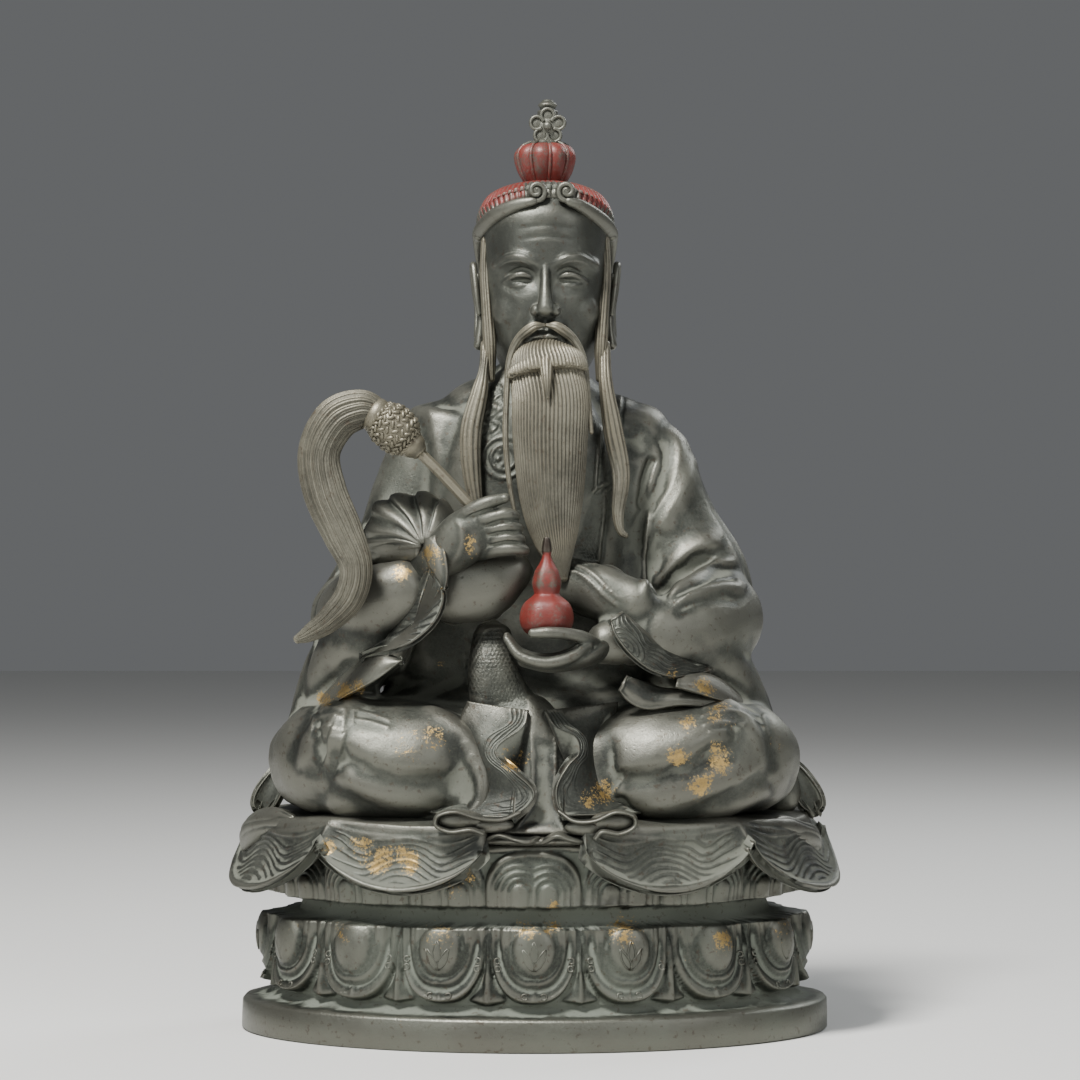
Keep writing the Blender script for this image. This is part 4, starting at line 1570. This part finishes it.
# %% The whisk's rod and tail
ROD = [[-14, -58, 204, 2, 2], [-24, -61, 215, 2, 2], [-37, -61, 229, 2, 2], [-49, -60, 241, 2, 2]]
KNOB = [[-49.5, -60, 241, 4.6, 4.6], [-53, -60, 244.6, 8.4, 8.4], [-58.6, -60, 249.7, 8.8, 8.8],
        [-62.6, -60, 252.8, 6.4, 6.4]]
TAIL = [
    [-62, -60, 254, 5.6, 5.6], [-70, -60, 255.5, 8, 6.4], [-80, -60, 251, 9, 7], [-86.5, -60, 238, 8.6, 7],
    [-84, -61, 222, 9, 7], [-77, -63, 206, 8.4, 6.6], [-71.5, -65, 192, 6.8, 6], [-74, -65.5, 180, 6.4, 5.6],
    [-82, -65, 171, 5.2, 4.8], [-90, -64, 165.5, 3.6, 3.4], [-95, -64, 163, 1.8, 2],
]


def whisked(share, angle):
    """Thick and thin strands, which waver a little and get shallower towards the tip."""
    bent = angle + 0.05 * np.sin(2 * angle + 9 * share) + 0.02 * np.sin(5 * angle - 17 * share)
    thick = np.abs(np.sin(8 * bent)) ** 0.6 - 1
    thin = np.abs(np.sin(21 * bent + 0.6)) ** 0.7 - 1
    return 0.085 * thick + 0.05 * thin


tail = loft(TAIL, 336, 150, relief=whisked, ends=(0.2, 0.8))
rod = loft(ROD, 24, 60, ends=(0.3, 0.3), relief=lambda share, angle: 0.12 * np.cos(6 * angle) + 0 * share)
knob = loft(KNOB, 80, 40, ends=(0.3, 0.3))
collars = [
    loft([[-62.6, -60, 252, 7, 7], [-64, -60, 253, 7.4, 7.4], [-65.4, -60, 253.7, 6.8, 6.8]], 60, 20,
         ends=(0.3, 0.3)),
    loft([[-46, -60, 238, 3.4, 3.4], [-48, -60, 240, 5.2, 5.2], [-49.6, -60, 241.6, 5.6, 5.6]], 60, 20,
         ends=(0.4, 0.3)),
]

# %% The woven knob
def weaving_tree():
    """One strand on each point of a mesh, flat on it, aslant to one side in each other row."""
    sockets = {"Points": "Geometry", "Strand": "Object", "Per Row": "Int", "Slant": "Float"}
    sockets |= {"Way": "Vector", "Seed": "Int", "Finish": "Material"}
    book, given = new_tree("woven strands on points", sockets)
    mesh, shape, per_row, slant, way, seed, finish = given
    one = book.node("GeometryNodeObjectInfo", {}, {"Object": shape}, 4)
    out_way = book.node("GeometryNodeInputNormal")
    flat = book.node("FunctionNodeAlignRotationToVector", {"axis": "Z"}, {"Vector": out_way})
    settings = {"axis": "Y", "pivot_axis": "Z"}
    along = book.node("FunctionNodeAlignRotationToVector", settings, {"Rotation": flat, "Vector": way})
    row = book.node("GeometryNodeInputIndex").math("DIVIDE", per_row).math("FLOOR")
    side = row.math("MODULO", 2.0) * 2 - 1
    tilt = book.node("FunctionNodeAxisAngleToRotation", {}, {"Axis": (0, 0, 1), "Angle": side * slant})
    settings = {"rotation_space": "LOCAL"}
    turn = book.node("FunctionNodeRotateRotation", settings, {"Rotation": along, "Rotate By": tilt})
    limits = {2: 0.92, 3: 1.08, "Seed": seed}
    uneven = book.node("FunctionNodeRandomValue", {"data_type": "FLOAT"}, limits, 1)
    placed = {"Points": mesh, "Instance": one, "Rotation": turn, "Scale": uneven}
    laid = book.node("GeometryNodeInstanceOnPoints", {}, placed)
    real = book.node("GeometryNodeRealizeInstances", {}, {0: laid})
    return ended(book, real, finish)


ROWS, PER_ROW, SLANT = 10, 17, 0.62  # the slant is in radians
grid = []
axis_line = smooth_line(KNOB, np.linspace(0.04, 1.0, ROWS))
axis_way = unit(axis_line[-1, :3] - axis_line[0, :3])
side_way = unit(np.cross(axis_way, np.array([0, 1, 0.0])))
other_way = np.cross(axis_way, side_way)
for k, (cx, cy, cz, r, _) in enumerate(axis_line):
    turn = 2 * np.pi * (np.arange(PER_ROW) + 0.5 * (k % 2)) / PER_ROW
    outwards = np.cos(turn)[:, None] * side_way + np.sin(turn)[:, None] * other_way
    grid.append(np.array([cx, cy, cz]) + r * outwards)
seats = skin(np.array(grid))
strand_form = ball((0, 0, 0), (1.9, 0.78, 0.95), 10)
strand_object = new_object("strand", *strand_form)
sizes = {"Per_Row": PER_ROW, "Slant": SLANT, "Way": tuple(axis_way), "Seed": 4, "Finish": HAIR_BRONZE}
weave = grown(new_object("seats", *seats), weaving_tree(), Strand=strand_object, **sizes)
bpy.data.objects.remove(strand_object)
print("strands on the knob:", len(weave[1]) // len(strand_form[1]))
whisk = joined([rod, knob, *collars, tail, weave])
finished("whisk", whisk, "hair_bronze", HAIR_BRONZE, replaces=("fly_whisk",))

# %% [markdown]
# ## The gourd
# A double gourd turned on an upright line, with a narrow waist, six faint lobes and a small stalk. Its red
# lacquer is worn, most of all on the upper half and the stalk.

# %% The gourd
GOURD_AT = (5, -63)
GOURD_PROFILE = [
    (0.5, 163.5), (5.5, 164), (9.4, 167), (10.6, 171.8), (9.2, 177), (5.4, 180.6), (5, 182), (5.8, 185.5),
    (4.8, 190), (2.6, 194), (1.6, 197), (2, 199), (1.2, 203.5), (0.4, 204),
]
outline = smooth_line(GOURD_PROFILE, np.linspace(0, 1, 120))
turn = 2 * np.pi * np.arange(72) / 72
lobes = 1 + 0.025 * np.cos(6 * turn)
rings = []
for r, z in outline:
    wide = [GOURD_AT[0] + r * lobes * np.cos(turn), GOURD_AT[1] + r * lobes * np.sin(turn), z + 0 * turn]
    rings.append(np.stack(wide, -1))
RED_LACQUER = aged("red lacquer", (0.02, 0.014, 0.011, 1), (0.05, 0.034, 0.024, 1), (0.085, 0.07, 0.05, 1),
                   metal=0.6)


def worn_lacquer(spots):
    z = spots[:, 2]
    return 0.82 - 0.14 * step(z, 179, 186) - 0.3 * step(z, 196, 200)


gourd = skin(np.array(rings))
finished("gourd_skin", gourd, "red_lacquer", RED_LACQUER, red=worn_lacquer, replaces=("gourd",))

# %% [markdown]
# ## Ride, slots and size
# Nothing on a statue moves, so every piece rides on the one body. The slots name the metals for whoever
# recolours it, and the floor is declared as stage, so that it isn't taken for a part of the statue.

# %% Ride, slots and size
for made, slot, nodes in PIECES:
    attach(made, "root")
    if nodes:
        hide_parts(*nodes)

corners = np.array([[-4, -3, 0], [4, -3, 0], [4, 5, 0], [-4, 5, 0]])  # in metres
floor = new_object("floor", corners, np.array([[0, 1, 2, 3]]))
pale = bpy.data.materials.new("floor")
pale.use_nodes = True
shader = pale.node_tree.nodes["Principled BSDF"]
shader.inputs["Base Color"].default_value = (0.72, 0.72, 0.7, 1)
shader.inputs["Roughness"].default_value = 0.8
floor.data.materials.append(pale)
print("pieces", len(PIECES), "triangles", sum(len(made.data.polygons) for made, *_ in PIECES))
